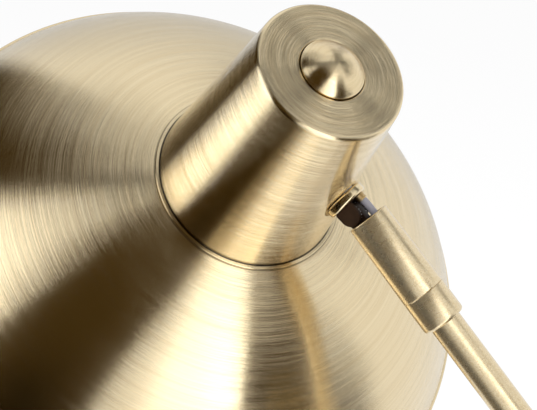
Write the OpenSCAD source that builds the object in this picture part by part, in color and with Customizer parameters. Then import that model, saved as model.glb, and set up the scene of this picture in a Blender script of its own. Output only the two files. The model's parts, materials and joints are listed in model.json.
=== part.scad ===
// Table lamp: round weighted base, straight arm with a hinged and turning knuckle
// at each end, and a spun dome head on a tapered neck with a push switch at its end.
// Millimetres. The origin is the middle of the underside, Z is up, and the arm leans
// towards -X. A head-frame height is 0 on the neck's flat end and falls to the rim.

/* [Pose] */
// Lean of the arm from upright, towards -X
arm_lean = 40; // [-10:1:55]
// Bend at the upper knuckle, from the arm to the flange axis
flange_lean = 7.5; // [-38:0.5:38]
// Turn of the head about the flange axis
head_turn = 30; // [-170:1:170]

/* [Shade] */
// Radius of the sphere that the dome is part of
dome_r = 143.9; // [135:0.1:160]
// Outer radius of the dome at its rim
rim_r = 125.5; // [110:0.5:130]
// Radius of the rolled bead on the rim
bead_r = 1.5; // [1:0.1:2.5]
// Wall of the spun shade
shade_wall = 1; // [0.8:0.1:1.5]
// Radius of the hole in the shade's flat top
shade_hole_r = 24; // [22:0.5:26]
// Outer radius of the ring between neck and dome
seat_ring_r = 37.8; // [37:0.1:42]
// Thickness of the ring between neck and dome
seat_ring_t = 0.8; // [0.6:0.1:2]

/* [Neck] */
// Radius of the neck's flat end
disc_r = 26.6; // [25:0.1:30]
// Radius of the neck where it meets the ring
neck_base_r = 36.2; // [35.8:0.1:36.8]
// Length of the neck
neck_len = 79.2; // [76:0.2:100]
// Wall of the spun neck
neck_wall = 1; // [0.8:0.1:1.5]
// Rounding of the neck's flat end
disc_edge = 1.5; // [0.8:0.1:2.5]
// Distance of the knuckle from the neck's flat end
joint_z = 43.8; // [40:0.2:48]
// Depth of the flat that is pressed into the neck for the knuckle
flat_depth = 1.3; // [1:0.1:1.6]
// Radius of that flat
flat_r = 9.2; // [8.8:0.1:10]
// Thickness of the pad behind that flat
pad_t = 2; // [1.5:0.1:3]

/* [Push button] */
// Radius of the button
button_r = 11.5; // [10:0.1:13]
// Height of the button over the neck's flat end
button_h = 5.2; // [4:0.1:6]
// Travel of the button
button_travel = 2.2; // [1.5:0.1:2.5]
// Gap around the button
button_gap = 0.35; // [0.3:0.05:0.6]
// Wall of the button
button_wall = 1.2; // [1:0.1:1.6]
// Radius of the plunger under the button
plunger_r = 2.5; // [2:0.1:2.8]
// Radius of the switch body
switch_r = 9; // [8:0.1:11]
// Length of the switch body
switch_len = 10.8; // [9:0.1:11]

/* [Knuckles] */
// Radius of the brass ring
ring_r = 8; // [7.8:0.1:8.8]
// Thickness of the brass ring
ring_t = 3.6; // [3.2:0.1:5]
// Rounding of the brass ring
ring_edge = 0.9; // [0.5:0.1:1.2]
// Offset of the ring from the tilt axis
ring_off = 1.2; // [0.8:0.1:1.6]
// Half width of the fork cheeks
cheek_hw = 3.7; // [3.5:0.1:3.9]
// Thickness of a fork cheek
cheek_t = 2.6; // [2.4:0.1:3]
// Thickness of the tongue
tongue_t = 4.4; // [4:0.1:5]
// Half width of the tongue
tongue_hw = 3.4; // [3.2:0.1:3.5]
// Thickness of a toothed friction washer
tooth_washer_t = 0.5; // [0.4:0.05:0.8]
// Radius of the toothed friction washers over their teeth
tooth_washer_r = 3.7; // [3.5:0.1:3.7]
// Radius of the tilt screw
tilt_screw_r = 1.5; // [1.3:0.1:1.7]
// Radius of the fork's foot in the ring
foot_r = 6; // [5.8:0.1:6.4]
// Thickness of the fork's foot
foot_t = 1.4; // [1:0.1:1.6]
// Radius of the hollow threaded stems
stem_r = 5; // [4.8:0.1:5]
// Radius of the bore of the hollow stems
stem_bore_r = 3.2; // [3:0.1:3.4]
// Thickness of the spring washers
spring_washer_t = 1.2; // [1:0.1:1.6]
// Thickness of the hexagon nuts
nut_t = 4.5; // [3:0.1:5]
// Width of the hexagon nuts over their flats
nut_af = 14; // [13:0.5:16]

/* [Arm] */
// Length of the arm between the tilt axes
arm_len = 330; // [250:5:420]
// Outer radius of the arm tube
tube_r = 6; // [5.8:0.1:6.2]
// Wall of the arm tube
tube_wall = 1; // [0.8:0.1:1.1]
// Distance of a sleeve mouth from its tilt axis
mouth_z = 4.1; // [4:0.1:4.6]
// Depth of the plug in the sleeve mouth
plug_depth = 1.2; // [1:0.1:2]
// Length of the plug
plug_len = 7; // [6:0.5:10]
// Outer radius of a sleeve at its mouth
mouth_r = 7.85; // [7.7:0.05:8.2]
// Outer radius of a sleeve at its seam, and of a collar
seam_r = 8.25; // [8.1:0.05:8.6]
// Bore radius of a sleeve around its plug
sleeve_bore_r = 6.6; // [6.4:0.1:6.8]
// Length of a sleeve
sleeve_len = 33; // [28:0.5:45]
// Length of a collar
collar_len = 12.9; // [10:0.1:18]
// Rounding of a collar's end
collar_edge = 1.3; // [0.8:0.1:1.8]
// Offset of the arm tube from the tilt axes
tube_off = 3; // [2.8:0.1:3.2]

/* [Lead] */
// Radius of the sheathed lead
lead_r = 1.4; // [1.2:0.05:1.45]
// Distance of the lead's bush from the tilt axis
bush_off = 6.1; // [6:0.05:6.2]
// Outer radius of the bush
bush_r = 2; // [1.8:0.05:2.05]
// Length of the bush
bush_len = 2.4; // [2:0.1:2.6]

/* [Lamp holder] */
// Height of the yoke's bridge under the neck's flat end
bridge_z = 30; // [29:0.2:31]
// Thickness of the yoke strip
yoke_t = 1.5; // [1.2:0.1:2]
// Width of the yoke strip
yoke_w = 12; // [10:0.5:13]
// Half span of the yoke, over its legs
yoke_hs = 26.4; // [25:0.1:26.5]
// Radius of the holder's cap and shell
holder_r = 19; // [18:0.1:19.4]
// Length of the holder's cap
holder_cap_len = 20.5; // [18:0.5:22]
// Length of the holder's shell
holder_shell_len = 26; // [22:0.5:27]
// Wall of the holder's shell
holder_wall = 1.8; // [1.4:0.1:2.2]
// Radius of the circle of the four shade screws
screw_circle_r = 30; // [29.5:0.1:30.5]
// Radius of the shade screws
shade_screw_r = 1.5; // [1.3:0.1:1.6]
// Thickness of the clamp ring inside the shade
clamp_t = 1.5; // [1:0.1:2.5]

/* [Lamp] */
// Radius of the round glass bulb
bulb_r = 22.5; // [20:0.5:24]
// Length of the bulb with its cap
bulb_len = 68; // [64:1:72]
// Radius of the bulb's screw cap
bulb_cap_r = 13.2; // [13:0.1:13.4]
// Wall of the glass
glass_wall = 0.8; // [0.6:0.1:1.2]

/* [Base] */
// Radius of the base
base_r = 95; // [88:1:110]
// Height of the cover at its edge
base_edge_h = 17; // [16.6:0.1:20]
// Rounding of the cover's edge
base_round = 5; // [3:0.5:6]
// Rise of the cover from its edge to the hub
base_rise = 2; // [1:0.1:2.6]
// Height of the hub's top
hub_h = 22; // [21.8:0.1:26]
// Radius of the hub's top
hub_r = 10.5; // [9.5:0.1:14]
// Wall of the cover
cover_wall = 1.2; // [1:0.1:1.5]
// Gap between the cover's edge and the table
cover_lift = 1; // [0.5:0.1:1.5]
// Thickness of the felt
felt_t = 2; // [1.6:0.1:3]
// Radius of the hole in the middle of the iron weight
weight_hole_r = 18; // [16:0.5:22]
// Radius of the circle of the weight screws
weight_screw_circle_r = 60; // [45:1:70]
// Radius of the weight screws
weight_screw_r = 2; // [1.8:0.1:2.5]
// Half width of the cable channel in the weight
channel_hw = 9; // [8.6:0.1:12]
// Height of the cable channel
channel_h = 8.3; // [8:0.1:9]
// Height of the cable inlet over the table
inlet_h = 6.3; // [6.2:0.1:6.8]
// Radius of the cable inlet's bore
inlet_bore_r = 3.6; // [3:0.1:3.8]

/* [Fits] */
// Gap between pieces that turn against each other
turn_gap = 0.3; // [0.3:0.05:0.5]
// Radial gap of a running fit
run_gap = 0.06; // [0.02:0.01:0.1]
// Radial gap of a fixed fit
fit_gap = 0.05; // [0.02:0.01:0.1]
// Gap of a screw or lead in its clearance hole
hole_gap = 0.2; // [0.1:0.05:0.3]

/* [Hidden] */
$fn = 96;
brass = [0.66, 0.56, 0.39];
dark_brass = [0.5, 0.42, 0.27];
black = [0.07, 0.06, 0.06];
steel = [0.66, 0.67, 0.69];
iron = [0.25, 0.25, 0.26];
grey = [0.62, 0.6, 0.64];
opal = [0.95, 0.94, 0.9];
ceramic = [0.9, 0.89, 0.85];

// The knuckles, measured from their tilt axis towards the ring
floor_gap = turn_gap + 0.1;
ring_z = tongue_hw + floor_gap;
seat_h = ring_z + ring_t + turn_gap;
cheek_y = tongue_t / 2 + tooth_washer_t + turn_gap;
near_skin = 1;
screw_head_t = 1.4;
screw_head_r = tilt_screw_r * 1.9;
stem_foot_z = ring_z + foot_t;
tooth_count = 20;
tooth_depth = 0.5;
foot_bite = 0.05;
bush_z = ring_z - foot_bite - bush_len;
rib_count = 4;
plug_z = mouth_z + plug_depth;
arm_lead_off = bush_off + 0.2;
slant_top = [ring_off + stem_bore_r - lead_r - 0.25, seat_h + 1.1];
slant_low = [bush_off, ring_z + 0.2];

// The neck and shade, in the head frame
neck_slope = (neck_base_r - disc_r) / neck_len;
function neck_r(depth) = disc_r + neck_slope * depth;
neck_norm = sqrt(1 + neck_slope * neck_slope);
edge_x = disc_r + neck_slope * disc_edge - disc_edge * neck_norm;
joint_d = neck_r(joint_z) - flat_depth;
dome_top = neck_len + seat_ring_t;
dome_top_r = seat_ring_r - 0.2;
dome_centre = dome_top + sqrt(dome_r * dome_r - dome_top_r * dome_top_r);
rim_z = dome_centre - sqrt(dome_r * dome_r - rim_r * rim_r);
seat_ring_in = neck_base_r - neck_wall - 1;
flange_low = dome_top + shade_wall;
lug_w = 8;
lug_h = 8;
lug_in = screw_circle_r - 4;
lug_out = seat_ring_in - 0.3;
clamp_out = screw_circle_r + 4;
clamp_in = holder_r + 1.5;
clamp_low = flange_low + clamp_t;
shade_screw_len = clamp_low - dome_top + 4;
shade_head_t = 1.8;
shade_head_r = shade_screw_r * 1.9;

// The hollow stems end one nut past their spring washer
head_stem_end = seat_h + pad_t + turn_gap + spring_washer_t + nut_t + 1.2;
base_stem_end = seat_h + cover_wall + turn_gap + spring_washer_t + nut_t + 1.2;
nut_r = nut_af / sqrt(3);

// The switch under the neck's flat end
carrier_in = button_r + button_gap;
carrier_wall = 1;
carrier_floor = 8.4;
carrier_floor_t = 1.2;
switch_nut_t = 2;
post_end = 2;
skirt_end = 4;
switch_neck_top = post_end + button_travel + 0.6;
plunger_end = carrier_floor + carrier_floor_t + 5;
button_base = 0.5;
button_rise = button_h - button_base;
button_sphere = (button_r * button_r + button_rise * button_rise) / (2 * button_rise);

// The lamp holder and its bulb
holder_top = bridge_z + yoke_t;
boss_r = stem_r + 3;
boss_len = 3.5;
cap_low = holder_top + holder_cap_len;
cone_low = cap_low - 6;
shell_low = cap_low + holder_shell_len;
core_len = 8;
core_low = cap_low + core_len;
holder_nut_t = 2.4;
holder_stem_top = bridge_z - holder_nut_t - 0.8;
holder_stem_low = holder_top + boss_len + 3;
socket_wall = 0.6;
socket_r = bulb_cap_r + 0.3;
bulb_top = core_low + turn_gap;
bulb_low = bulb_top + bulb_len;
bulb_centre = bulb_low - bulb_r;
tip_len = 4;
bulb_cap_len = 20;
bulb_cap_low = bulb_top + tip_len + bulb_cap_len;
lead_top = holder_stem_top - 2.8;

// The base
base_top = base_edge_h + base_rise;
slope_in = hub_r + 5;
function cover_top(r) = base_edge_h + base_rise * (base_r - base_round - r) / (base_r - base_round - slope_in);
pivot_h = hub_h + seat_h;
weight_r = base_r - cover_wall - 2.3;
weight_top = base_edge_h - cover_wall - turn_gap;
channel_top = felt_t + channel_h;
weight_screw_at = [60, 180, 300];
weight_boss_r = weight_screw_r + 3;
weight_head_r = weight_screw_r * 2;
weight_head_t = 2.4;
inlet_r = inlet_bore_r + 0.8;
inlet_flange_r = inlet_r + 1.1;
inlet_flange_t = 1.5;
block_len = 22;
block_w = 13;
block_h = 7;
clamp_x = weight_r - 19.5;
block_x = clamp_x - 44;
clamp_bar_w = 8;
clamp_bar_t = 2;
clamp_bar_z = felt_t + 2.4;
clamp_screw_y = 6;
clamp_screw_r = 1.5;
clamp_head_t = 1.6;

// Sub-part to draw, or all of them

// Frames. Each places its children, drawn about its own origin.
module arm_frame() {
  translate([-ring_off, 0, pivot_h]) rotate([0, -arm_lean, 0]) children();
}
module upper_end() {
  arm_frame() translate([0, 0, arm_len]) children();
}
module lower_end() {
  arm_frame() mirror([0, 0, 1]) children();
}
module base_knuckle() {
  translate([-ring_off, 0, pivot_h]) mirror([0, 0, 1]) children();
}
module neck_knuckle() {
  upper_end() rotate([0, -flange_lean, 0]) children();
}
module head_frame() {
  neck_knuckle() translate([ring_off, 0, seat_h]) rotate([0, 0, -head_turn]) rotate([0, 90, 0])
    translate([-joint_d, 0, joint_z]) children();
}

// A disc with both edges rounded
module round_disc(r, h, e) {
  rotate_extrude() {
    square([r - e, h]);
    translate([0, e]) square([r, h - 2 * e]);
    for (z = [e, h - e]) translate([r - e, z]) circle(e);
  }
}

// A flat ring
module washer(r, bore, h) {
  rotate_extrude() translate([bore, 0]) square([r - bore, h]);
}

// A straight rod between two points of the XZ plane
module rod(a, b, r) {
  d = b - a;
  translate([a[0], 0, a[1]]) rotate([0, atan2(d[0], d[1]), 0]) cylinder(r = r, h = norm(d), $fn = 40);
}

// A lead through points of the XZ plane, with a round joint at each bend
module run(points, r) {
  last = len(points) - 1;
  for (i = [0 : last - 1]) rod(points[i], points[i + 1], r);
  for (i = [1 : last - 1]) translate([points[i][0], 0, points[i][1]]) sphere(r * 1.02, $fn = 40);
}

// A hexagon nut with its bore
module nut(h, bore) {
  difference() {
    cylinder(r = nut_r, h = h, $fn = 6);
    translate([0, 0, -1]) cylinder(r = bore, h = h + 2);
  }
}

// A pan-head screw that points up from its head's seat at 0
module pan_screw(r, len, head_r, head_t) {
  difference() {
    union() {
      translate([0, 0, -0.01]) cylinder(r = r, h = len + 0.01);
      translate([0, 0, -head_t]) rotate_extrude() polygon([[0, 0], [head_r * 0.7, 0],
        [head_r, head_t * 0.45], [head_r, head_t], [0, head_t]]);
    }
    translate([-head_r, -r * 0.25, -head_t - 1]) cube([2 * head_r, r * 0.5, 1 + head_t * 0.45]);
  }
}

// Knuckle pieces, about the tilt axis with the ring towards +Z

// The lead's way from the bush into the hollow stem
module lead_slot() {
  run([[bush_off, bush_z - 2], slant_low, slant_top], lead_r + hole_gap);
}
module knuckle_ring() {
  difference() {
    translate([ring_off, 0, ring_z]) round_disc(ring_r, ring_t, ring_edge);
    translate([ring_off, 0, ring_z - 1]) cylinder(r = foot_r + fit_gap, h = 1 + foot_t);
    translate([ring_off, 0, ring_z]) cylinder(r = stem_r + fit_gap, h = ring_t + 1);
    lead_slot();
  }
}
module cheek() {
  rotate([90, 0, 0]) linear_extrude(cheek_t, center = true) {
    circle(cheek_hw);
    translate([-cheek_hw, 0]) square([2 * cheek_hw, ring_z]);
  }
}
module knuckle_fork() {
  difference() {
    union() {
      for (s = [-1, 1]) translate([0, s * (cheek_y + cheek_t / 2), 0]) cheek();
      translate([ring_off, 0, ring_z - foot_bite]) cylinder(r = foot_r, h = foot_t + foot_bite);
    }
    translate([0, cheek_y + cheek_t + 1, 0]) rotate([90, 0, 0])
      cylinder(r = tilt_screw_r + fit_gap, h = 2 * cheek_y + 2 * cheek_t - near_skin + 1);
    lead_slot();
  }
}
module hollow_stem(end_z) {
  difference() {
    translate([ring_off, 0, stem_foot_z]) cylinder(r = stem_r, h = end_z - stem_foot_z);
    translate([ring_off, 0, stem_foot_z - 1]) cylinder(r = stem_bore_r, h = end_z);
    lead_slot();
  }
}
// Split spring washer, with its face at z
module spring_washer(z) {
  translate([ring_off, 0, z]) difference() {
    washer(stem_r + 3, stem_r + fit_gap, spring_washer_t);
    rotate([0, 0, 200]) translate([stem_r - 1, -0.5, -1]) cube([6, 1, spring_washer_t + 2]);
  }
}
module knuckle_nut(z) {
  translate([ring_off, 0, z]) nut(nut_t, stem_r + fit_gap);
}
// Tilt screw, from the far cheek into the near one, where it ends blind
module tilt_screw() {
  translate([0, cheek_y + cheek_t, 0]) rotate([90, 0, 0]) difference() {
    union() {
      translate([0, 0, -screw_head_t]) cylinder(r = screw_head_r, h = screw_head_t);
      cylinder(r = tilt_screw_r, h = 2 * cheek_y + 2 * cheek_t - near_skin - 0.3);
    }
    translate([0, 0, -screw_head_t - 1]) cylinder(r = tilt_screw_r * 0.8, h = 1 + screw_head_t * 0.6, $fn = 6);
  }
}
module tooth_washer() {
  rotate([90, 0, 0]) linear_extrude(tooth_washer_t, center = true) difference() {
    polygon([for (i = [0 : 2 * tooth_count - 1]) let (r = tooth_washer_r - (i % 2) * tooth_depth,
      a = i * 180 / tooth_count) [r * cos(a), r * sin(a)]]);
    circle(tilt_screw_r + fit_gap);
  }
}
module tooth_washers() {
  for (s = [-1, 1]) translate([0, s * (cheek_y - tooth_washer_t / 2), 0]) tooth_washer();
}
// Ribbed bush that guides the lead out of the ring
module lead_bush() {
  pitch = bush_len / rib_count;
  translate([bush_off, 0, bush_z]) rotate_extrude() difference() {
    polygon(concat([[0, 0]], [for (i = [0 : rib_count - 1]) each [[bush_r - 0.25, i * pitch],
      [bush_r, (i + 0.5) * pitch]]], [[bush_r - 0.25, bush_len], [0, bush_len]]));
    translate([0, -1]) square([lead_r + fit_gap, bush_len + 2]);
  }
}
module knuckle_lead(end_z) {
  run([[bush_off, bush_z], slant_low, slant_top, [ring_off, slant_top[1] + 2.4],
    [ring_off, end_z]], lead_r);
}
// Tongue on its plug, about the tilt axis with the sleeve towards -Z
module tongue() {
  difference() {
    union() {
      rotate([90, 0, 0]) linear_extrude(tongue_t, center = true) {
        circle(tongue_hw);
        translate([-tongue_hw, 0.3 - mouth_z]) square([2 * tongue_hw, mouth_z - 0.3]);
        translate([-tongue_hw + 0.25, -plug_z - 0.5]) square([2 * tongue_hw - 0.25, plug_z]);
      }
      translate([tube_off, 0, -plug_z - plug_len])
        cylinder(r = sleeve_bore_r - fit_gap, h = plug_len);
    }
    translate([0, tongue_t, 0]) rotate([90, 0, 0])
      cylinder(r = tilt_screw_r + run_gap, h = 2 * tongue_t);
    translate([arm_lead_off, 0, -plug_z - plug_len - 1])
      cylinder(r = lead_r + hole_gap, h = plug_len + 2);
    translate([tube_off, 3.5, -plug_z - plug_len / 2]) rotate([-90, 0, 0])
      cylinder(r = 1.5 + fit_gap, h = 10);
  }
}
// Sleeve, wide around its plug and narrow around the tube
module sleeve() {
  wide = plug_depth + plug_len + 2;
  translate([tube_off, 0, -mouth_z]) difference() {
    rotate_extrude() polygon([[sleeve_bore_r, 0], [mouth_r - 0.5, 0], [mouth_r, -0.5],
      [seam_r, -sleeve_len + 0.3], [seam_r - 0.3, -sleeve_len], [tube_r + fit_gap, -sleeve_len],
      [tube_r + fit_gap, -wide], [sleeve_bore_r, -wide]]);
    translate([0, 3, -plug_depth - plug_len / 2]) rotate([-90, 0, 0])
      cylinder(r = 1.5 + fit_gap, h = 10);
  }
}
module collar() {
  translate([tube_off, 0, -mouth_z - sleeve_len - collar_len]) difference() {
    rotate_extrude() difference() {
      union() {
        square([seam_r - collar_edge, collar_len]);
        translate([0, collar_edge]) square([seam_r, collar_len - collar_edge - 0.3]);
        translate([seam_r - collar_edge, collar_edge]) circle(collar_edge);
        translate([0, collar_edge]) square([seam_r - 0.3, collar_len - collar_edge]);
      }
      translate([-1, -1]) square([tube_r + fit_gap + 1, collar_len + 2]);
    }
    translate([0, 3, collar_len / 2]) rotate([-90, 0, 0]) cylinder(r = 1.5 + fit_gap, h = 10);
  }
}
// Two grub screws of one arm end, on the side away from the lead's bend
module grubs() {
  plug_grub_y = 3.8;
  for (g = [[plug_grub_y, -plug_z - plug_len / 2, mouth_r - 0.4],
            [tube_r + 0.1, -mouth_z - sleeve_len - collar_len / 2, seam_r - 0.4]])
    translate([tube_off, g[0], g[1]]) rotate([-90, 0, 0]) difference() {
      cylinder(r = 1.5, h = g[2] - g[0]);
      translate([0, 0, g[2] - g[0] - 1]) cylinder(r = 0.8, h = 2, $fn = 6);
    }
}

// Base

module cover_shape(r, edge_h, top, hr, hh, e) {
  square([r - e, edge_h]);
  square([r, edge_h - e]);
  translate([r - e, edge_h - e]) circle(e);
  polygon([[0, edge_h - 1], [r - e, edge_h - 1], [r - e, edge_h], [hr + 5, top], [hr + 1, top + 0.6],
    [hr, hh], [0, hh]]);
}
module base_cover() {
  color(brass) difference() {
    union() {
      rotate_extrude() difference() {
        cover_shape(base_r, base_edge_h, base_top, hub_r, hub_h, base_round);
        cover_shape(base_r - cover_wall, base_edge_h - cover_wall, base_top - cover_wall,
          hub_r - cover_wall, hub_h - cover_wall, base_round - cover_wall);
        translate([-1, -1]) square([base_r + 2, cover_lift + 1]);
      }
      for (a = weight_screw_at) rotate([0, 0, a]) translate([weight_screw_circle_r, 0, weight_top])
        cylinder(r = weight_boss_r, h = cover_top(weight_screw_circle_r + weight_boss_r)
          - weight_top - cover_wall / 2);
    }
    translate([0, 0, hub_h - 10]) cylinder(r = stem_r + run_gap, h = 20);
    for (a = weight_screw_at) rotate([0, 0, a]) translate([weight_screw_circle_r, 0, weight_top - 1])
      cylinder(r = weight_screw_r + fit_gap, h = 1.8);
    translate([base_r - 5, 0, inlet_h]) rotate([0, 90, 0]) cylinder(r = inlet_r + fit_gap, h = 10);
  }
}
module base_weight() {
  color(iron) difference() {
    translate([0, 0, felt_t]) rotate_extrude() polygon([[weight_hole_r, 0], [weight_r, 0],
      [weight_r, weight_top - felt_t - 3], [weight_r - 4, weight_top - felt_t],
      [weight_hole_r, weight_top - felt_t]]);
    translate([0, -channel_hw, felt_t - 1]) cube([base_r, 2 * channel_hw, channel_h + 1]);
    for (a = weight_screw_at) rotate([0, 0, a]) translate([weight_screw_circle_r, 0, 0]) {
      cylinder(r = weight_screw_r + hole_gap, h = weight_top + 1);
      cylinder(r = weight_head_r + hole_gap, h = felt_t + weight_head_t + 0.4);
    }
    for (s = [-1, 1]) translate([clamp_x, s * clamp_screw_y, channel_top - 1])
      cylinder(r = clamp_screw_r + fit_gap, h = 4);
  }
}
module felt_pad() {
  color([0.1, 0.1, 0.11]) cylinder(r = weight_r - 1, h = felt_t);
}
module weight_screws() {
  color(steel) for (a = weight_screw_at) rotate([0, 0, a])
    translate([weight_screw_circle_r, 0, felt_t + weight_head_t + 0.4])
      pan_screw(weight_screw_r, weight_top - felt_t - weight_head_t + 0.2, weight_head_r, weight_head_t);
}
// Rubber gland with a groove for the cover's wall, around the inlet's bore
module cable_gland() {
  inner = base_r - cover_wall - 0.25;
  color(black) translate([0, 0, inlet_h]) rotate([0, 90, 0]) rotate_extrude() polygon([
    [inlet_bore_r, inner - 1.8], [inlet_flange_r - 0.4, inner - 1.8], [inlet_flange_r - 0.4, inner],
    [inlet_r, inner], [inlet_r, base_r + 0.02], [inlet_flange_r, base_r + 0.02],
    [inlet_flange_r, base_r + inlet_flange_t - 0.5], [inlet_flange_r - 0.5, base_r + inlet_flange_t],
    [inlet_bore_r, base_r + inlet_flange_t]]);
}
module cord_clamp() {
  color(black) difference() {
    translate([clamp_x - clamp_bar_w / 2, -channel_hw + 0.5, clamp_bar_z])
      cube([clamp_bar_w, 2 * channel_hw - 1, clamp_bar_t]);
    for (s = [-1, 1]) translate([clamp_x, s * clamp_screw_y, clamp_bar_z - 1])
      cylinder(r = clamp_screw_r + fit_gap, h = clamp_bar_t + 2);
    translate([clamp_x, 0, clamp_bar_z + clamp_bar_t + 2]) rotate([0, 90, 0])
      cylinder(r = inlet_bore_r - 0.6, h = clamp_bar_w + 2, center = true);
  }
}
module clamp_screws() {
  color(steel) for (s = [-1, 1]) translate([clamp_x, s * clamp_screw_y, clamp_bar_z])
    pan_screw(clamp_screw_r, channel_top - clamp_bar_z + 2.5, 2.4, clamp_head_t);
}
// Three-way terminal block under the channel's roof
module terminal_block() {
  color(ceramic) difference() {
    translate([block_x, -block_w / 2, channel_top - block_h]) cube([block_len, block_w, block_h]);
    for (i = [-1, 1]) translate([block_x + block_len / 2, i * 3.4, channel_top - block_h / 2])
      rotate([0, 90, 0]) cylinder(r = 1.3, h = block_len + 2, center = true);
    for (i = [-1, 1]) for (x = [5, block_len - 5])
      translate([block_x + x, i * 3.4, channel_top - block_h - 1]) cylinder(r = 1.4, h = 1 + block_h / 2);
    translate([block_x + block_len / 2 - 0.6, -block_w / 2 - 1, channel_top - block_h - 1])
      cube([1.2, block_w + 2, 2.4]);
  }
}
module base_lead() {
  z = channel_top - block_h / 2;
  top = pivot_h - base_stem_end - turn_gap;
  color(grey) run([[0, top], [0, top - 1.8], [3, z + 1.2], [7, z], [block_x, z]], lead_r);
}

// Lower knuckle, which turns on the base

module base_ring() {
  color(brass) base_knuckle() knuckle_ring();
}
module base_fork() {
  color(black) base_knuckle() knuckle_fork();
}
module base_stem() {
  color(steel) base_knuckle() hollow_stem(base_stem_end);
}
module base_spring_washer() {
  color(steel) base_knuckle() spring_washer(seat_h + cover_wall + turn_gap);
}
module base_nut() {
  color(steel) base_knuckle() knuckle_nut(seat_h + cover_wall + turn_gap + spring_washer_t);
}
module base_tilt_screw() {
  color(black) base_knuckle() tilt_screw();
}
module base_tooth_washers() {
  color(steel) base_knuckle() tooth_washers();
}
module base_bush() {
  color(dark_brass) base_knuckle() lead_bush();
}
module base_fork_lead() {
  color(grey) base_knuckle() knuckle_lead(base_stem_end);
}

// Arm

module lower_tongue() {
  color(black) lower_end() tongue();
}
module lower_sleeve() {
  color(brass) lower_end() sleeve();
}
module lower_collar() {
  color(brass) lower_end() collar();
}
module arm_tube() {
  inset = mouth_z + plug_depth + plug_len + 2;
  color(brass) arm_frame() translate([tube_off, 0, inset])
    washer(tube_r, tube_r - tube_wall, arm_len - 2 * inset);
}
module upper_collar() {
  color(brass) upper_end() collar();
}
module upper_sleeve() {
  color(brass) upper_end() sleeve();
}
module upper_tongue() {
  color(black) upper_end() tongue();
}
module grub_screws() {
  color(black) {
    upper_end() grubs();
    lower_end() grubs();
  }
}
module arm_lead() {
  color(grey) arm_frame() translate([arm_lead_off, 0, plug_z]) cylinder(r = lead_r, h = arm_len - 2 * plug_z);
}
// The lead across a knuckle's gap, from its bush to its hole in the plug
module gap_lead(bend) {
  low = [arm_lead_off, -plug_z];
  out = [arm_lead_off, -plug_z + 1.6];
  function turn(p) = [p[0] * cos(bend) + p[1] * sin(bend), p[1] * cos(bend) - p[0] * sin(bend)];
  a = turn([bush_off, bush_z]);
  b = turn([bush_off + 0.1, bush_z - 1.2]);
  run([low, out, b, a], lead_r);
}
module lower_gap_lead() {
  color(grey) lower_end() gap_lead(-arm_lean);
}
module upper_gap_lead() {
  color(grey) upper_end() gap_lead(-flange_lean);
}

// Upper knuckle, which the head turns on

module head_ring() {
  color(brass) neck_knuckle() knuckle_ring();
}
module head_fork() {
  color(black) neck_knuckle() knuckle_fork();
}
module head_stem() {
  color(steel) neck_knuckle() hollow_stem(head_stem_end);
}
module head_spring_washer() {
  color(steel) neck_knuckle() spring_washer(seat_h + pad_t + turn_gap);
}
module head_nut() {
  color(steel) neck_knuckle() knuckle_nut(seat_h + pad_t + turn_gap + spring_washer_t);
}
module head_tilt_screw() {
  color(black) neck_knuckle() tilt_screw();
}
module head_tooth_washers() {
  color(steel) neck_knuckle() tooth_washers();
}
module head_bush() {
  color(dark_brass) neck_knuckle() lead_bush();
}
module head_fork_lead() {
  color(grey) neck_knuckle() knuckle_lead(head_stem_end);
}

// Head

module shade() {
  color(brass) head_frame() difference() {
    rotate_extrude() {
      intersection() {
        translate([0, -dome_centre]) difference() {
          circle(dome_r);
          circle(dome_r - shade_wall);
        }
        translate([0, -rim_z]) square([dome_r, rim_z - dome_top]);
      }
      translate([shade_hole_r, -flange_low]) square([dome_top_r - shade_hole_r, shade_wall]);
      translate([rim_r - shade_wall / 2, -rim_z - bead_r * 0.6]) circle(bead_r);
    }
    screw_holes(shade_screw_r + hole_gap);
  }
}
// Holes of the four shade screws, through everything
module screw_holes(r) {
  for (a = [0, 90, 180, 270]) rotate([0, 0, a]) translate([screw_circle_r, 0, -clamp_low - 1])
    cylinder(r = r, h = clamp_low - dome_top + 5);
}
module seat_ring() {
  color(brass) head_frame() translate([0, 0, -dome_top])
    washer(seat_ring_r, seat_ring_in, seat_ring_t);
}
// Outline of the neck, in by some distance; the flat end's edge is an arc that runs into the cone
module neck_outline(inset = 0) {
  e = disc_edge - inset;
  polygon([[0, -inset], [edge_x, -inset], [edge_x, -disc_edge],
    [edge_x + e / neck_norm, -disc_edge + e * neck_slope / neck_norm],
    [neck_base_r - inset * neck_norm, -neck_len], [0, -neck_len]]);
  translate([edge_x, -disc_edge]) circle(e);
}
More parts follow.
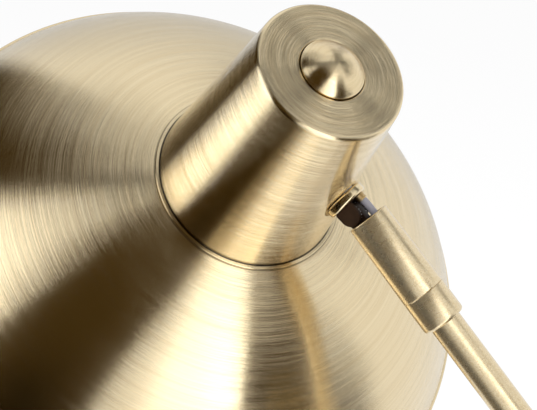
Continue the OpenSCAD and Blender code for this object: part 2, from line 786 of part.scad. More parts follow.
// Lug that takes a shade screw, grown out of the neck's wall
module neck_lug() {
  top = -neck_len + lug_h;
  rotate([90, 0, 0]) linear_extrude(lug_w, center = true) polygon([
    [lug_in, -dome_top], [lug_out, -dome_top], [lug_out, -neck_len + 0.2],
    [neck_r(neck_len) - neck_wall / 2, -neck_len + 0.2], [neck_r(neck_len - lug_h) - neck_wall / 2, top],
    [lug_in, top]]);
}
module neck_cup() {
  inner_top = disc_r - neck_wall + neck_slope * neck_wall;
  color(brass) head_frame() difference() {
    union() {
      difference() {
        rotate_extrude() neck_outline();
        translate([0, 0, -neck_len - 1]) cylinder(r1 = neck_base_r - neck_wall + neck_slope,
          r2 = inner_top, h = neck_len + 1 - neck_wall);
      }
      intersection() {
        rotate_extrude() neck_outline(neck_wall / 2);
        translate([joint_d - pad_t, 0, -joint_z]) rotate([0, 90, 0])
          cylinder(r = flat_r + 1.2, h = 20);
      }
      for (a = [0, 180]) rotate([0, 0, a]) neck_lug();
    }
    translate([joint_d, 0, -joint_z]) rotate([0, 90, 0]) cylinder(r = flat_r, h = 20);
    translate([joint_d - pad_t - 5, 0, -joint_z]) rotate([0, 90, 0])
      cylinder(r = stem_r + run_gap, h = 20);
    translate([0, 0, -5]) cylinder(r = button_r + button_gap, h = 10);
    screw_holes(shade_screw_r + fit_gap);
  }
}
module clamp_ring() {
  color(steel) head_frame() difference() {
    translate([0, 0, -clamp_low]) washer(clamp_out, clamp_in, clamp_t);
    screw_holes(shade_screw_r + hole_gap);
  }
}
module shade_screws() {
  color(steel) head_frame() for (a = [0, 90, 180, 270]) rotate([0, 0, a])
    translate([screw_circle_r, 0, -clamp_low])
      pan_screw(shade_screw_r, shade_screw_len - 0.4, shade_head_r, shade_head_t);
}
// Bent strip that carries the lamp holder, with a foot on each side of the shade's hole
module holder_yoke() {
  bend = 3;
  foot_out = screw_circle_r + 3;
  module arch(hs, top, r, low = 0) {
    translate([-hs, -dome_top - low]) square([2 * hs, dome_top + low - top - r]);
    translate([-hs + r, -dome_top - low]) square([2 * hs - 2 * r, dome_top + low - top]);
    for (s = [-1, 1]) translate([s * (hs - r), -top - r]) circle(r);
  }
  color(steel) head_frame() difference() {
    rotate([90, 0, 90]) linear_extrude(yoke_w, center = true) {
      difference() {
        arch(yoke_hs, bridge_z, bend);
        arch(yoke_hs - yoke_t, bridge_z + yoke_t, bend - yoke_t, 1);
      }
      for (s = [-1, 1]) translate([s > 0 ? yoke_hs - yoke_t : -foot_out, -dome_top])
        square([foot_out - yoke_hs + yoke_t, yoke_t]);
    }
    translate([0, 0, -holder_top - 1]) cylinder(r = stem_r + fit_gap, h = yoke_t + 2);
    screw_holes(shade_screw_r + fit_gap);
  }
}
module holder_stem() {
  color(steel) head_frame() translate([0, 0, -holder_stem_low])
    washer(stem_r, stem_bore_r, holder_stem_low - holder_stem_top);
}
module holder_nut() {
  color(steel) head_frame() translate([0, 0, -bridge_z]) nut(holder_nut_t, stem_r + fit_gap);
}
module holder_cap() {
  color(black) head_frame() rotate_extrude() difference() {
    polygon([[0, -holder_top], [boss_r, -holder_top], [boss_r, -holder_top - boss_len],
      [holder_r - 1, -cone_low], [holder_r, -cone_low - 1], [holder_r, -cap_low], [0, -cap_low]]);
    polygon([[0, -holder_top - boss_len], [boss_r - 0.6, -holder_top - boss_len - 1.4],
      [holder_r - holder_wall - 1, -cone_low - 1.4], [holder_r - holder_wall, -cone_low - 2.4],
      [holder_r - holder_wall, -cap_low - 1], [0, -cap_low - 1]]);
    translate([-1, -cap_low - 1]) square([stem_r + fit_gap + 1, holder_cap_len + 2]);
  }
}
module holder_shell() {
  lip = 0.7;
  color(black) head_frame() rotate_extrude() polygon([[holder_r - holder_wall, -cap_low],
    [holder_r, -cap_low], [holder_r, -shell_low + 5], [holder_r + lip, -shell_low + 4],
    [holder_r + lip, -shell_low + 1], [holder_r, -shell_low], [holder_r - holder_wall, -shell_low]]);
}
module holder_core() {
  color(ceramic) head_frame() difference() {
    translate([0, 0, -core_low]) cylinder(r = holder_r - holder_wall - fit_gap, h = core_len);
    for (s = [-1, 1]) translate([0, s * 8, -core_low - 1]) cylinder(r = 1.6, h = core_len + 2);
  }
}
// Threaded shell that the bulb screws into
module holder_socket() {
  len = shell_low - core_low - 3;
  color(dark_brass) head_frame() translate([0, 0, -core_low - len]) rotate_extrude() polygon([
    [socket_r + 0.5, 0], [socket_r + 0.5 + socket_wall, 0], [socket_r + socket_wall, 1.5],
    [socket_r + socket_wall, len], [socket_r, len], [socket_r, 1.5]]);
}
// Round bulb of radius r on a straight neck, with a cone that runs just into the ball
module bulb_solid(r, throat_r, top) {
  rise = bulb_centre - bulb_cap_low;
  side = atan2(rise, throat_r) - acos(r / norm([rise, throat_r]));
  bite = 0.98;
  translate([0, 0, -bulb_centre]) sphere(r);
  rotate_extrude() polygon([[0, -top], [throat_r, -top], [throat_r, -bulb_cap_low],
    [bite * r * cos(side), -bulb_centre + bite * r * sin(side)], [0, -bulb_centre]]);
}
module bulb_glass() {
  top = bulb_cap_low - 3;
  throat_r = bulb_cap_r - 0.7;
  color(opal) head_frame() difference() {
    bulb_solid(bulb_r, throat_r, top);
    bulb_solid(bulb_r - glass_wall, throat_r - glass_wall, top - 1);
  }
}
module bulb_cap() {
  low = bulb_cap_low;
  top = bulb_top + tip_len;
  color(steel) head_frame() rotate_extrude() polygon([[bulb_cap_r - 0.5, -low], [bulb_cap_r, -low],
    [bulb_cap_r, -top - 2], [bulb_cap_r - 3, -top], [bulb_cap_r - 3.5, -top],
    [bulb_cap_r - 0.5, -top - 2.2]]);
}
module bulb_tip() {
  color(dark_brass) head_frame() rotate_extrude() polygon([[0, -bulb_top], [3.5, -bulb_top],
    [4.5, -bulb_top - 1], [bulb_cap_r - 3.2, -bulb_top - tip_len], [0, -bulb_top - tip_len]]);
}
// Cup under the neck's flat end that holds the switch
module switch_carrier() {
  color(dark_brass) head_frame() rotate_extrude() polygon([
    [carrier_in, -neck_wall], [carrier_in + 4, -neck_wall], [carrier_in + 4, -neck_wall - 1],
    [carrier_in + carrier_wall, -neck_wall - 1],
    [carrier_in + carrier_wall, -carrier_floor - carrier_floor_t],
    [stem_r + fit_gap, -carrier_floor - carrier_floor_t], [stem_r + fit_gap, -carrier_floor],
    [carrier_in, -carrier_floor]]);
}
module switch_body() {
  top = carrier_floor + carrier_floor_t;
  color(black) head_frame() difference() {
    union() {
      translate([0, 0, -top - switch_len]) cylinder(r = switch_r, h = switch_len);
      translate([0, 0, -top - 0.5]) cylinder(r = stem_r, h = top + 0.5 - switch_neck_top);
    }
    translate([0, 0, -plunger_end - button_travel - 0.6])
      cylinder(r = plunger_r + run_gap, h = plunger_end + 10);
  }
}
module switch_nut() {
  color(steel) head_frame() translate([0, 0, -carrier_floor]) nut(switch_nut_t, stem_r + fit_gap);
}
module head_lead() {
  start = joint_d - (head_stem_end - seat_h) - turn_gap - lead_r;
  color(grey) head_frame() run([[start, -joint_z], [start - 4.7, -joint_z + 8.8],
    [nut_r + 3, -lead_top - 1.6], [0, -lead_top], [0, -holder_stem_low]], lead_r);
}
module button_cap() {
  sphere_z = button_h - button_sphere;
  color(brass) head_frame() rotate_extrude() {
    intersection() {
      translate([0, sphere_z]) difference() {
        circle(button_sphere);
        circle(button_sphere - button_wall);
      }
      translate([0, button_base]) square([button_r, button_h]);
    }
    translate([button_r - button_wall, -skirt_end]) square([button_wall, skirt_end + button_base]);
    translate([0, -post_end]) square([plunger_r + 1.5, post_end + button_h - button_wall / 2]);
  }
}
module button_plunger() {
  color(steel) head_frame() translate([0, 0, -plunger_end])
    cylinder(r = plunger_r, h = plunger_end - post_end);
}

base_cover();
base_weight();
felt_pad();
weight_screws();
cable_gland();
cord_clamp();
clamp_screws();
terminal_block();
base_lead();
base_ring();
base_fork();
base_stem();
base_spring_washer();
base_nut();
base_tilt_screw();
base_tooth_washers();
base_bush();
base_fork_lead();
lower_tongue();
lower_sleeve();
lower_collar();
arm_tube();
upper_collar();
upper_sleeve();
upper_tongue();
grub_screws();
arm_lead();
lower_gap_lead();
upper_gap_lead();
head_ring();
head_fork();
head_stem();
head_spring_washer();
head_nut();
head_tilt_screw();
head_tooth_washers();
head_bush();
head_fork_lead();
shade();
seat_ring();
neck_cup();
clamp_ring();
shade_screws();
holder_yoke();
holder_stem();
holder_nut();
holder_cap();
holder_shell();
holder_core();
holder_socket();
bulb_glass();
bulb_cap();
bulb_tip();
switch_carrier();
switch_body();
switch_nut();
head_lead();
button_cap();
button_plunger();
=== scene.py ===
"""Looks of the table lamp: brushed brass head, knuckles, arm and base, and their studio."""

import json
import logging
import math
from dataclasses import dataclass, field
from enum import Enum

import bpy
from bpy.types import Material, Node, NodeSocket, NodeTree, Object
from mathutils import Matrix, Vector


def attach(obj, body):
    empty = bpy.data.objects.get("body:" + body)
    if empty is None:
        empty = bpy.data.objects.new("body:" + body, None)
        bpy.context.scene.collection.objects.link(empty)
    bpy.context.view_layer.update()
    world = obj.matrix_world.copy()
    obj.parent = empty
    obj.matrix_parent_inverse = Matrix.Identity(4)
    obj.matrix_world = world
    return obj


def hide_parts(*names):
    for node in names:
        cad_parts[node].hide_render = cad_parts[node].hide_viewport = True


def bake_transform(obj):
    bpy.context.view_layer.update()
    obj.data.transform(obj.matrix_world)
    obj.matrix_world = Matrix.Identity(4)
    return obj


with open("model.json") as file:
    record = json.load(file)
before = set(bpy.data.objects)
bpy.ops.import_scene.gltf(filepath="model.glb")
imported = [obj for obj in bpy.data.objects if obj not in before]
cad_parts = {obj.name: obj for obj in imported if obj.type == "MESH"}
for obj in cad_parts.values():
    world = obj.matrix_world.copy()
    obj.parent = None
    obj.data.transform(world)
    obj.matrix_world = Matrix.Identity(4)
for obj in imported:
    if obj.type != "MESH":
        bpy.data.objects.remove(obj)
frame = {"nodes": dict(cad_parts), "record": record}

log = logging.getLogger("table_lamp")
Point = tuple[float, float]
Colour = tuple[float, float, float, float]
MM = 0.001
MERGE = 0.0005
SMOOTH_ANGLE = math.radians(32)
DISC_R = 26.6
NECK_R = 36.2
NECK_LEN = 79.2
JOINT_Z = 43.8
JOINT_INSET = 1.3
TUBE_OFF = 3.0
MIRROR = Matrix.Diagonal((1, 1, -1, 1))
WHITE: Colour = (1.0, 1.0, 1.0, 1.0)
# Painted shade: the dark brown of the shadow in the gaps between neck, ring and dome.
SEAM_SHADOW: Colour = (0.035, 0.022, 0.008, 1.0)
SHADE: Colour = (0.085, 0.05, 0.009, 1.0)


class Body(Enum):
    """Bodies that pieces ride on."""

    BASE = "base"
    BASE_FORK = "base_fork"
    ARM = "arm"
    HEAD_FORK = "head_fork"
    HEAD = "head"
    BUTTON = "button"


class Slot(Enum):
    """Finishes named in the record."""

    SPUN_BRASS = "spun_brass"
    SATIN_BRASS = "satin_brass"
    PLAIN_BRASS = "plain_brass"
    BLACK_METAL = "black_metal"
    PLATED_STEEL = "plated_steel"
    CAST_IRON = "cast_iron"
    FELT = "felt"
    BLACK_RUBBER = "black_rubber"
    BLACK_PLASTIC = "black_plastic"
    CERAMIC = "ceramic"
    GREY_SHEATH = "grey_sheath"
    OPAL_GLASS = "opal_glass"


def shift(x: float, z: float = 0.0) -> Matrix:
    """Returns a move along X and Z."""
    return Matrix.Translation((x, 0, z))


def turn(degrees: float, axis: str) -> Matrix:
    """Returns a turn about one axis."""
    return Matrix.Rotation(math.radians(degrees), 4, axis)


@dataclass(frozen=True)
class LampPose:
    """Angles and lengths that place the lamp's frames, in degrees and millimetres."""

    arm_lean: float = 40.0
    flange_lean: float = 7.5
    head_turn: float = 30.0
    ring_off: float = 1.2
    pivot_h: float = 29.7
    arm_len: float = 330.0
    seat_h: float = 7.7
    joint_z: float = JOINT_Z
    joint_d: float = DISC_R + (NECK_R - DISC_R) / NECK_LEN * JOINT_Z - JOINT_INSET

    def arm(self) -> Matrix:
        """Returns the arm's frame: the lower tilt axis at its origin and the arm along +Z."""
        return shift(-self.ring_off, self.pivot_h) @ turn(-self.arm_lean, "Y")

    def upper_end(self) -> Matrix:
        """Returns the frame of the arm's upper end."""
        return self.arm() @ shift(0, self.arm_len)

    def lower_end(self) -> Matrix:
        """Returns the frame of the arm's lower end, a mirror image of the upper one."""
        return self.arm() @ MIRROR

    def base_knuckle(self) -> Matrix:
        """Returns the frame of the lower knuckle, with its ring towards the base."""
        return shift(-self.ring_off, self.pivot_h) @ MIRROR

    def head_knuckle(self) -> Matrix:
        """Returns the frame of the upper knuckle, with its ring towards the neck."""
        return self.upper_end() @ turn(-self.flange_lean, "Y")

    def head(self) -> Matrix:
        """Returns the head's frame: its axis is Z, 0 on the flat end and falling to the rim."""
        seat = shift(self.ring_off, self.seat_h)
        place = shift(-self.joint_d, self.joint_z)
        return self.head_knuckle() @ seat @ turn(-self.head_turn, "Z") @ turn(90, "Y") @ place


POSE = LampPose()


class Value:
    """A shader socket that is used in sums as a number is."""

    def __init__(self, paint: "Paint", socket: NodeSocket) -> None:
        """Keeps the socket.

        Args:
            paint: Node tree that the socket belongs to.
            socket: Output socket of one of its nodes.
        """
        self.paint = paint
        self.socket = socket

    def math(self, operation: str, *terms: "Value | float") -> "Value":
        """Adds a Math node.

        Args:
            operation: Name of the operation.
            *terms: What goes into the node's sockets, in order.

        Returns:
            The node's output.
        """
        made = self.paint.node("ShaderNodeMath", dict(enumerate(terms)), operation=operation)
        return Value(self.paint, made.outputs[0])

    def __add__(self, other: "Value | float") -> "Value":
        """Returns the sum."""
        return self.math("ADD", self, other)

    def __sub__(self, other: "Value | float") -> "Value":
        """Returns the difference."""
        return self.math("SUBTRACT", self, other)

    def __rsub__(self, other: float) -> "Value":
        """Returns the difference from a number."""
        return self.math("SUBTRACT", other, self)

    def __mul__(self, other: "Value | float") -> "Value":
        """Returns the product."""
        return self.math("MULTIPLY", self, other)

    def __truediv__(self, other: "Value | float") -> "Value":
        """Returns the quotient."""
        return self.math("DIVIDE", self, other)

    def __abs__(self) -> "Value":
        """Returns the value without its sign."""
        return self.math("ABSOLUTE", self)

    __radd__ = __add__
    __rmul__ = __mul__

    def root(self) -> "Value":
        """Returns the square root."""
        return self.math("SQRT", self)

    def step(self, low: float, high: float) -> "Value":
        """Eases from 0 to 1.

        Args:
            low: Value at which the result is 0.
            high: Value at which the result is 1.

        Returns:
            The eased value.
        """
        limits = {"Value": self, "From Min": low, "From Max": high}
        made = self.paint.node("ShaderNodeMapRange", limits, interpolation_type="SMOOTHSTEP")
        return Value(self.paint, made.outputs["Result"])


class Paint:
    """Builds the node tree of one material or of the world."""

    def __init__(self, tree: NodeTree) -> None:
        """Empties the tree.

        Args:
            tree: Node tree to fill.
        """
        self.tree = tree
        tree.nodes.clear()

    def node(
        self, kind: str, sockets: dict[str | int, object] | None = None, **settings: object
    ) -> Node:
        """Adds a node.

        Args:
            kind: Type of the node.
            sockets: Values or links of its input sockets; a node gives its first output.
            **settings: Properties that are set before the sockets.

        Returns:
            The node.
        """
        made = self.tree.nodes.new(kind)
        for name, value in settings.items():
            setattr(made, name, value)
        for name, value in (sockets or {}).items():
            source = value.socket if isinstance(value, Value) else value
            if isinstance(source, Node):
                source = source.outputs[0]
            if isinstance(source, NodeSocket):
                self.tree.links.new(source, made.inputs[name])
            else:
                made.inputs[name].default_value = source
        return made

    def mix(self, factor: Value | float, low: object, high: object) -> NodeSocket:
        """Mixes two colours.

        Args:
            factor: Share of the second colour.
            low: First colour or link.
            high: Second colour or link.

        Returns:
            The mixed colour.
        """
        return self.node("ShaderNodeMix", {0: factor, 6: low, 7: high}, data_type="RGBA").outputs[2]

    def vector(self, operation: str, *terms: object) -> NodeSocket:
        """Adds a Vector Math node.

        Args:
            operation: Name of the operation.
            *terms: What goes into the node's vector sockets, in order.

        Returns:
            The vector that comes out.
        """
        made = self.node("ShaderNodeVectorMath", dict(enumerate(terms)), operation=operation)
        return made.outputs[0]

    def scaled(self, vector: NodeSocket, amount: Value) -> NodeSocket:
        """Returns a vector times a value."""
        terms = {0: vector, "Scale": amount}
        return self.node("ShaderNodeVectorMath", terms, operation="SCALE").outputs[0]

    def coordinates(self) -> NodeSocket:
        """Returns the piece's own coordinates, in metres."""
        return self.node("ShaderNodeTexCoord").outputs["Object"]

    def local(self, place: Matrix) -> NodeSocket:
        """Gives coordinates in one of the lamp's frames.

        Args:
            place: The frame, in millimetres.

        Returns:
            The coordinates in millimetres.
        """
        back = place.inverted()
        moved = {
            "Vector": self.coordinates(), "Scale": (1 / MM,) * 3,
            "Rotation": back.to_3x3().to_euler("XYZ"), "Location": back.to_translation(),
        }
        return self.node("ShaderNodeMapping", moved).outputs[0]

    def parts(self, vector: NodeSocket) -> list[Value]:
        """Returns the three parts of a vector."""
        split = self.node("ShaderNodeSeparateXYZ", {0: vector})
        return [Value(self, output) for output in split.outputs]

    def noise(
        self, vector: NodeSocket, scale: float, detail: float = 2.0, roughness: float = 0.5
    ) -> Value:
        """Adds a noise texture.

        Args:
            vector: Coordinates.
            scale: Number of blotches to a unit.
            detail: Finer layers.
            roughness: Strength of the finer layers.

        Returns:
            The noise, around one half.
        """
        settings = {"Vector": vector, "Scale": scale, "Detail": detail, "Roughness": roughness}
        return Value(self, self.node("ShaderNodeTexNoise", settings).outputs[0])

    def streaks(
        self, way: tuple[Value, ...], fineness: float, length: float, detail: float
    ) -> Value:
        """Adds noise that is drawn out round an axis.

        Args:
            way: Way across the streaks, and the two parts of the direction from the axis.
            fineness: Number of blotches to a millimetre across the streaks.
            length: Number of blotches to a radian along them.
            detail: Finer layers.

        Returns:
            The noise, around one half.
        """
        scales = (fineness, length, length)
        stretched = {i: part * scale for i, (part, scale) in enumerate(zip(way, scales))}
        return self.noise(self.node("ShaderNodeCombineXYZ", stretched).outputs[0], 1.0, detail)

    def bump(self, height: Value, distance: float) -> NodeSocket:
        """Turns a height from 0 to 1 and its depth in metres into a normal."""
        return self.node("ShaderNodeBump", {"Height": height, "Distance": distance}).outputs[0]

    def surface(self, **sockets: object) -> None:
        """Adds the Principled shader and the output.

        Args:
            **sockets: The shader's sockets, with _ for a blank in their names.
        """
        named = {name.replace("_", " "): value for name, value in sockets.items()}
        shader = self.node("ShaderNodeBsdfPrincipled", named)
        self.node("ShaderNodeOutputMaterial", {"Surface": shader})

    def blend(self, share: Value, first: Node, second: Node, output: str = "Material") -> None:
        """Mixes two shaders and adds the output.

        Args:
            share: Share of the second shader.
            first: First shader.
            second: Second shader.
            output: Kind of output, Material or World.
        """
        both = self.node("ShaderNodeMixShader", {0: share, 1: first, 2: second})
        self.node(f"ShaderNodeOutput{output}", {"Surface": both})

    def seen(self) -> Value:
        """Returns 1 for what the camera sees, also in metal and through glass, and 0 for light."""
        path = self.node("ShaderNodeLightPath")
        rays = ("Is Camera Ray", "Is Glossy Ray", "Is Transmission Ray")
        first, *rest = (Value(self, path.outputs[name]) for name in rays)
        return sum(rest, first)


def new_paint(name: str) -> tuple[Material, Paint]:
    """Makes an empty material.

    Args:
        name: Name of the material.

    Returns:
        The material and its paint.
    """
    material = bpy.data.materials.new(name)
    material.use_nodes = True
    return material, Paint(material.node_tree)


@dataclass(frozen=True)
class BrushedMetal:
    """Lacquered metal that was brushed round the Z axis of a frame, with painted shade in dark
    rings at its seams.
    """

    name: str
    place: Matrix
    pale: Colour = (0.80, 0.67, 0.435, 1.0)
    deep: Colour = (0.62, 0.46, 0.24, 1.0)
    roughness: float = 0.15
    grooves: float = 55.0
    spread: float = 1.35
    scratch: float = 0.07
    wear: float = 0.35
    lacquer: float = 0.35
    lane: float = 0.6
    speckle: float = 0.0
    metallic: float = 1.0
    seam_shadows: tuple[Point, ...] = ()
    along: bool = False

    def grooved(self, paint: Paint, tilt: Value) -> NodeSocket:
        """Tips the normal across the grooves.

        Args:
            paint: Node tree of the finish.
            tilt: How far the normal is tipped.

        Returns:
            The normal.
        """
        centre = self.place.to_translation() * MM
        arm = paint.vector("SUBTRACT", paint.coordinates(), centre)
        around = paint.vector("CROSS_PRODUCT", self.place.to_3x3().col[2], arm)
        turned = paint.node(
            "ShaderNodeVectorTransform", {0: paint.vector("NORMALIZE", around)},
            vector_type="VECTOR", convert_from="OBJECT", convert_to="WORLD",
        ).outputs[0]
        normal = paint.node("ShaderNodeNewGeometry").outputs["Normal"]
        across = paint.vector("CROSS_PRODUCT", normal, turned)
        return paint.vector("NORMALIZE", paint.vector("ADD", normal, paint.scaled(across, tilt)))

    def material(self) -> Material:
        """Returns the finish."""
        material, paint = new_paint(self.name)
        local = paint.local(self.place)
        x, y, z = paint.parts(local)
        radius = (x * x + y * y + 0.0001).root()
        way = (z if self.along else radius - z, x / radius, y / radius)
        fine = paint.streaks(way, self.grooves, self.lane * 1.6, 0.0)
        lines = paint.streaks(way, 5.0, self.lane * 0.8, 3.0)
        wide = paint.streaks(way, 0.3, 1.1, 2.0)
        tilt = (fine - 0.5) * self.spread + (lines - 0.5) * self.scratch
        tone = (lines * 0.6 + wide * 0.4).step(0.38, 0.64)
        colour = paint.mix(tone * self.wear, self.pale, self.deep)
        if self.speckle > 0:
            dots = paint.noise(local, 1.5, 3.0, 0.65).step(0.42, 0.68)
            colour = paint.mix(dots * self.speckle, colour, self.deep)
        # Painted shade: thin dark rings at the given radii stand in for the shadow in the gaps
        # between parts.
        for ring, shadow_share in self.seam_shadows:
            near = 1.0 - abs(radius - ring).step(0.08, 0.36)
            colour = paint.mix(near * shadow_share, colour, SEAM_SHADOW)
        paint.surface(
            Base_Color=colour, Metallic=self.metallic, Normal=self.grooved(paint, tilt),
            Roughness=self.roughness + (wide - 0.5) * 0.1,
            Coat_Weight=self.lacquer, Coat_Roughness=0.04,
        )
        return material


@dataclass(frozen=True)
class PlainMetal:
    """Metal without a direction: plated, blackened or cast."""

    slot: Slot
    pale: Colour
    deep: Colour
    roughness: float
    grain: float = 900.0
    depth: float = 0.00004
    metallic: float = 1.0
    gloss: float = 0.5

    def material(self) -> Material:
        """Returns the finish."""
        material, paint = new_paint(self.slot.value)
        coordinates = paint.coordinates()
        grain = paint.noise(coordinates, self.grain, 3.0)
        cloud = paint.noise(coordinates, self.grain * 0.07, 4.0, 0.6)
        paint.surface(
            Base_Color=paint.mix(cloud.step(0.35, 0.7), self.pale, self.deep),
            Metallic=self.metallic, Roughness=self.roughness + (cloud - 0.5) * 0.3,
            Normal=paint.bump(grain, self.depth), Specular_IOR_Level=self.gloss,
        )
        return material


@dataclass(frozen=True)
class Moulded:
    """Plastic, rubber, glass or glazed ceramic."""

    slot: Slot
    colour: Colour
    worn: Colour
    roughness: float
    depth: float = 0.00003
    coat: float = 0.0

    def material(self) -> Material:
        """Returns the finish."""
        material, paint = new_paint(self.slot.value)
        coordinates = paint.coordinates()
        grain = paint.noise(coordinates, 1500.0)
        cloud = paint.noise(coordinates, 60.0, 4.0)
        paint.surface(
            Base_Color=paint.mix(cloud.step(0.4, 0.8), self.colour, self.worn),
            Roughness=self.roughness + (grain - 0.5) * 0.15,
            Normal=paint.bump(grain, self.depth), Coat_Weight=self.coat,
        )
        return material


@dataclass(frozen=True)
class Felt:
    """Pressed felt under the base."""

    slot: Slot = Slot.FELT
    colour: Colour = (0.03, 0.03, 0.035, 1.0)
    fluff: Colour = (0.10, 0.10, 0.11, 1.0)

    def material(self) -> Material:
        """Returns the finish."""
        material, paint = new_paint(self.slot.value)
        coordinates = paint.coordinates()
        fibres = paint.noise(coordinates, 2500.0, 4.0, 0.7)
        tufts = paint.noise(coordinates, 300.0, 3.0)
        hair = (fibres * tufts * 2.0).step(0.35, 0.8)
        paint.surface(
            Base_Color=paint.mix(hair, self.colour, self.fluff), Roughness=0.95,
            Normal=paint.bump(fibres, 0.0003), Sheen_Weight=0.3,
        )
        return material


class Bench:
    """Modelling steps that several pieces share. Lengths are in millimetres."""

    @staticmethod
    def clear() -> None:
        """Leaves edit mode and deselects everything."""
        if bpy.context.object is not None and bpy.context.object.mode != "OBJECT":
            bpy.ops.object.mode_set(mode="OBJECT")
        bpy.ops.object.select_all(action="DESELECT")

    @classmethod
    def hold(cls, *pieces: Object) -> None:
        """Selects pieces and makes the first one active.

        Args:
            *pieces: Pieces to select.
        """
        cls.clear()
        for piece in pieces:
            piece.select_set(True)
        bpy.context.view_layer.objects.active = pieces[0]

    @staticmethod
    def rename(piece: Object, name: str) -> Object:
        """Names a piece and its mesh, and returns the piece."""
        piece.name = piece.data.name = name
        return piece

    @staticmethod
    def arc(centre: Point, radius: float, start: float, end: float, steps: int) -> list[Point]:
        """Lists points on an arc.

        Args:
            centre: Middle of the arc.
            radius: Its radius.
            start: First angle in degrees.
            end: Last angle in degrees.
            steps: Number of steps between them.

        Returns:
            The points, both ends among them.
        """
        angles = [math.radians(start + (end - start) * i / steps) for i in range(steps + 1)]
        x, z = centre
        return [(x + radius * math.cos(a), z + radius * math.sin(a)) for a in angles]

    @staticmethod
    def straight(start: Point, end: Point, steps: int) -> list[Point]:
        """Lists points on a straight line, both ends among them."""
        way = (end[0] - start[0], end[1] - start[1])
        return [
            (start[0] + way[0] * i / steps, start[1] + way[1] * i / steps)
            for i in range(steps + 1)
        ]

    @staticmethod
    def close(merge: float = 0.0) -> None:
        """Turns the faces of the active piece outwards and leaves edit mode.

        Args:
            merge: Distance up to which vertices are merged first; 0 merges none.
        """
        bpy.ops.object.mode_set(mode="EDIT")
        bpy.ops.mesh.select_all(action="SELECT")
        if merge > 0:
            bpy.ops.mesh.remove_doubles(threshold=merge)
        bpy.ops.mesh.normals_make_consistent(inside=False)
        bpy.ops.object.mode_set(mode="OBJECT")

    @classmethod
    def chain(cls, name: str, points: list[Point], closed: bool) -> Object:
        """Draws a line of vertices in the XZ plane and leaves it in edit mode.

        Args:
            name: Name of the piece.
            points: Places of the vertices.
            closed: True if the line ends where it starts.

        Returns:
            The piece.
        """
        cls.clear()
        bpy.ops.mesh.primitive_plane_add(size=1.0, location=(0, 0, 0))
        piece = cls.rename(bpy.context.object, name)
        bpy.ops.object.mode_set(mode="EDIT")
        bpy.ops.mesh.select_mode(type="VERT")
        bpy.ops.mesh.select_all(action="SELECT")
        bpy.ops.mesh.merge(type="CENTER")
        bpy.ops.transform.translate(value=(points[0][0], 0, points[0][1]))
        ring = points + [points[0]] if closed else points
        for before, after in zip(ring, ring[1:]):
            step = (after[0] - before[0], 0, after[1] - before[1])
            bpy.ops.mesh.extrude_region_move(TRANSFORM_OT_translate={"value": step})
        bpy.ops.mesh.select_all(action="SELECT")
        bpy.ops.mesh.remove_doubles(threshold=MERGE)
        return piece

    @classmethod
    def turned(
        cls, name: str, profile: list[Point], steps: int = 96, closed: bool = True
    ) -> Object:
        """Turns a profile about the Z axis.

        Args:
            name: Name of the piece.
            profile: Radius and height of each point.
            steps: Number of steps round the axis.
            closed: True if the profile runs back to its start.

        Returns:
            The piece, in object mode.
        """
        piece = cls.chain(name, profile, closed)
        bpy.ops.mesh.spin(steps=steps, angle=2 * math.pi, center=(0, 0, 0), axis=(0, 0, 1))
        cls.close(MERGE)
        return piece

    @classmethod
    def plate(
        cls, name: str, outline: list[Point], low: float, high: float, edge: float
    ) -> Object:
        """Gives an outline in the XZ plane a thickness along Y and rounds its edges.

        Args:
            name: Name of the piece.
            outline: Points of the outline.
            low: Place of one face on Y.
            high: Place of the other face.
            edge: Rounding of the edges.

        Returns:
            The piece, in object mode.
        """
        piece = cls.chain(name, outline, True)
        bpy.ops.mesh.edge_face_add()
        bpy.ops.transform.translate(value=(0, low, 0))
        bpy.ops.mesh.extrude_region_move(TRANSFORM_OT_translate={"value": (0, high - low, 0)})
        cls.close()
        rounding = piece.modifiers.new("edges", "BEVEL")
        rounding.width = edge
        rounding.segments = 3
        rounding.limit_method = "ANGLE"
        rounding.angle_limit = math.radians(40)
        cls.apply(piece)
        return piece

    @classmethod
    def drill(
        cls, name: str, radius: float, height: float, start: float, end: float, steps: int = 96
    ) -> Object:
        """Makes a rod along X, for a boolean.

        Args:
            name: Name of the rod.
            radius: Its radius.
            height: Its place on Z.
            start: Place of one end on X.
            end: Place of the other end.
            steps: Number of sides.

        Returns:
            The rod.
        """
        near, far = Vector((start, 0, height)), Vector((end, 0, height))
        length = (far - near).length
        profile = [(0, 0), (radius, 0), (radius, length), (0, length)]
        rod = cls.turned(name, profile, steps, closed=False)
        direction = (far - near).to_track_quat("Z", "Y").to_matrix().to_4x4()
        return cls.settle(rod, Matrix.Translation(near) @ direction)

    @classmethod
    def cut(cls, piece: Object, tool: Object, operation: str = "DIFFERENCE") -> None:
        """Cuts a piece with another one, which is then removed.

        Args:
            piece: Piece to cut.
            tool: Piece to cut it with.
            operation: DIFFERENCE, UNION or INTERSECT.
        """
        modifier = piece.modifiers.new("cut", "BOOLEAN")
        modifier.operation = operation
        modifier.object = tool
        modifier.solver = "EXACT"
        cls.apply(piece)
        bpy.data.objects.remove(tool)

    @classmethod
    def apply(cls, piece: Object) -> None:
        """Applies all modifiers of a piece."""
        cls.hold(piece)
        for modifier in list(piece.modifiers):
            bpy.ops.object.modifier_apply(modifier=modifier.name)

    @classmethod
    def settle(cls, piece: Object, spot: Matrix) -> Object:
        """Moves a piece to a frame and applies the move to its mesh.

        Args:
            piece: Piece to move.
            spot: Its frame.

        Returns:
            The piece.
        """
        piece.matrix_world = spot
        cls.hold(piece)
        bpy.ops.object.transform_apply(location=True, rotation=True, scale=True)
        return piece

    @classmethod
    def join(cls, name: str, *pieces: Object) -> Object:
        """Joins pieces into the first one.

        Args:
            name: Name of the joined piece.
            *pieces: Pieces to join.

        Returns:
            The joined piece.
        """
        cls.hold(*pieces)
        bpy.ops.object.join()
        return cls.rename(pieces[0], name)

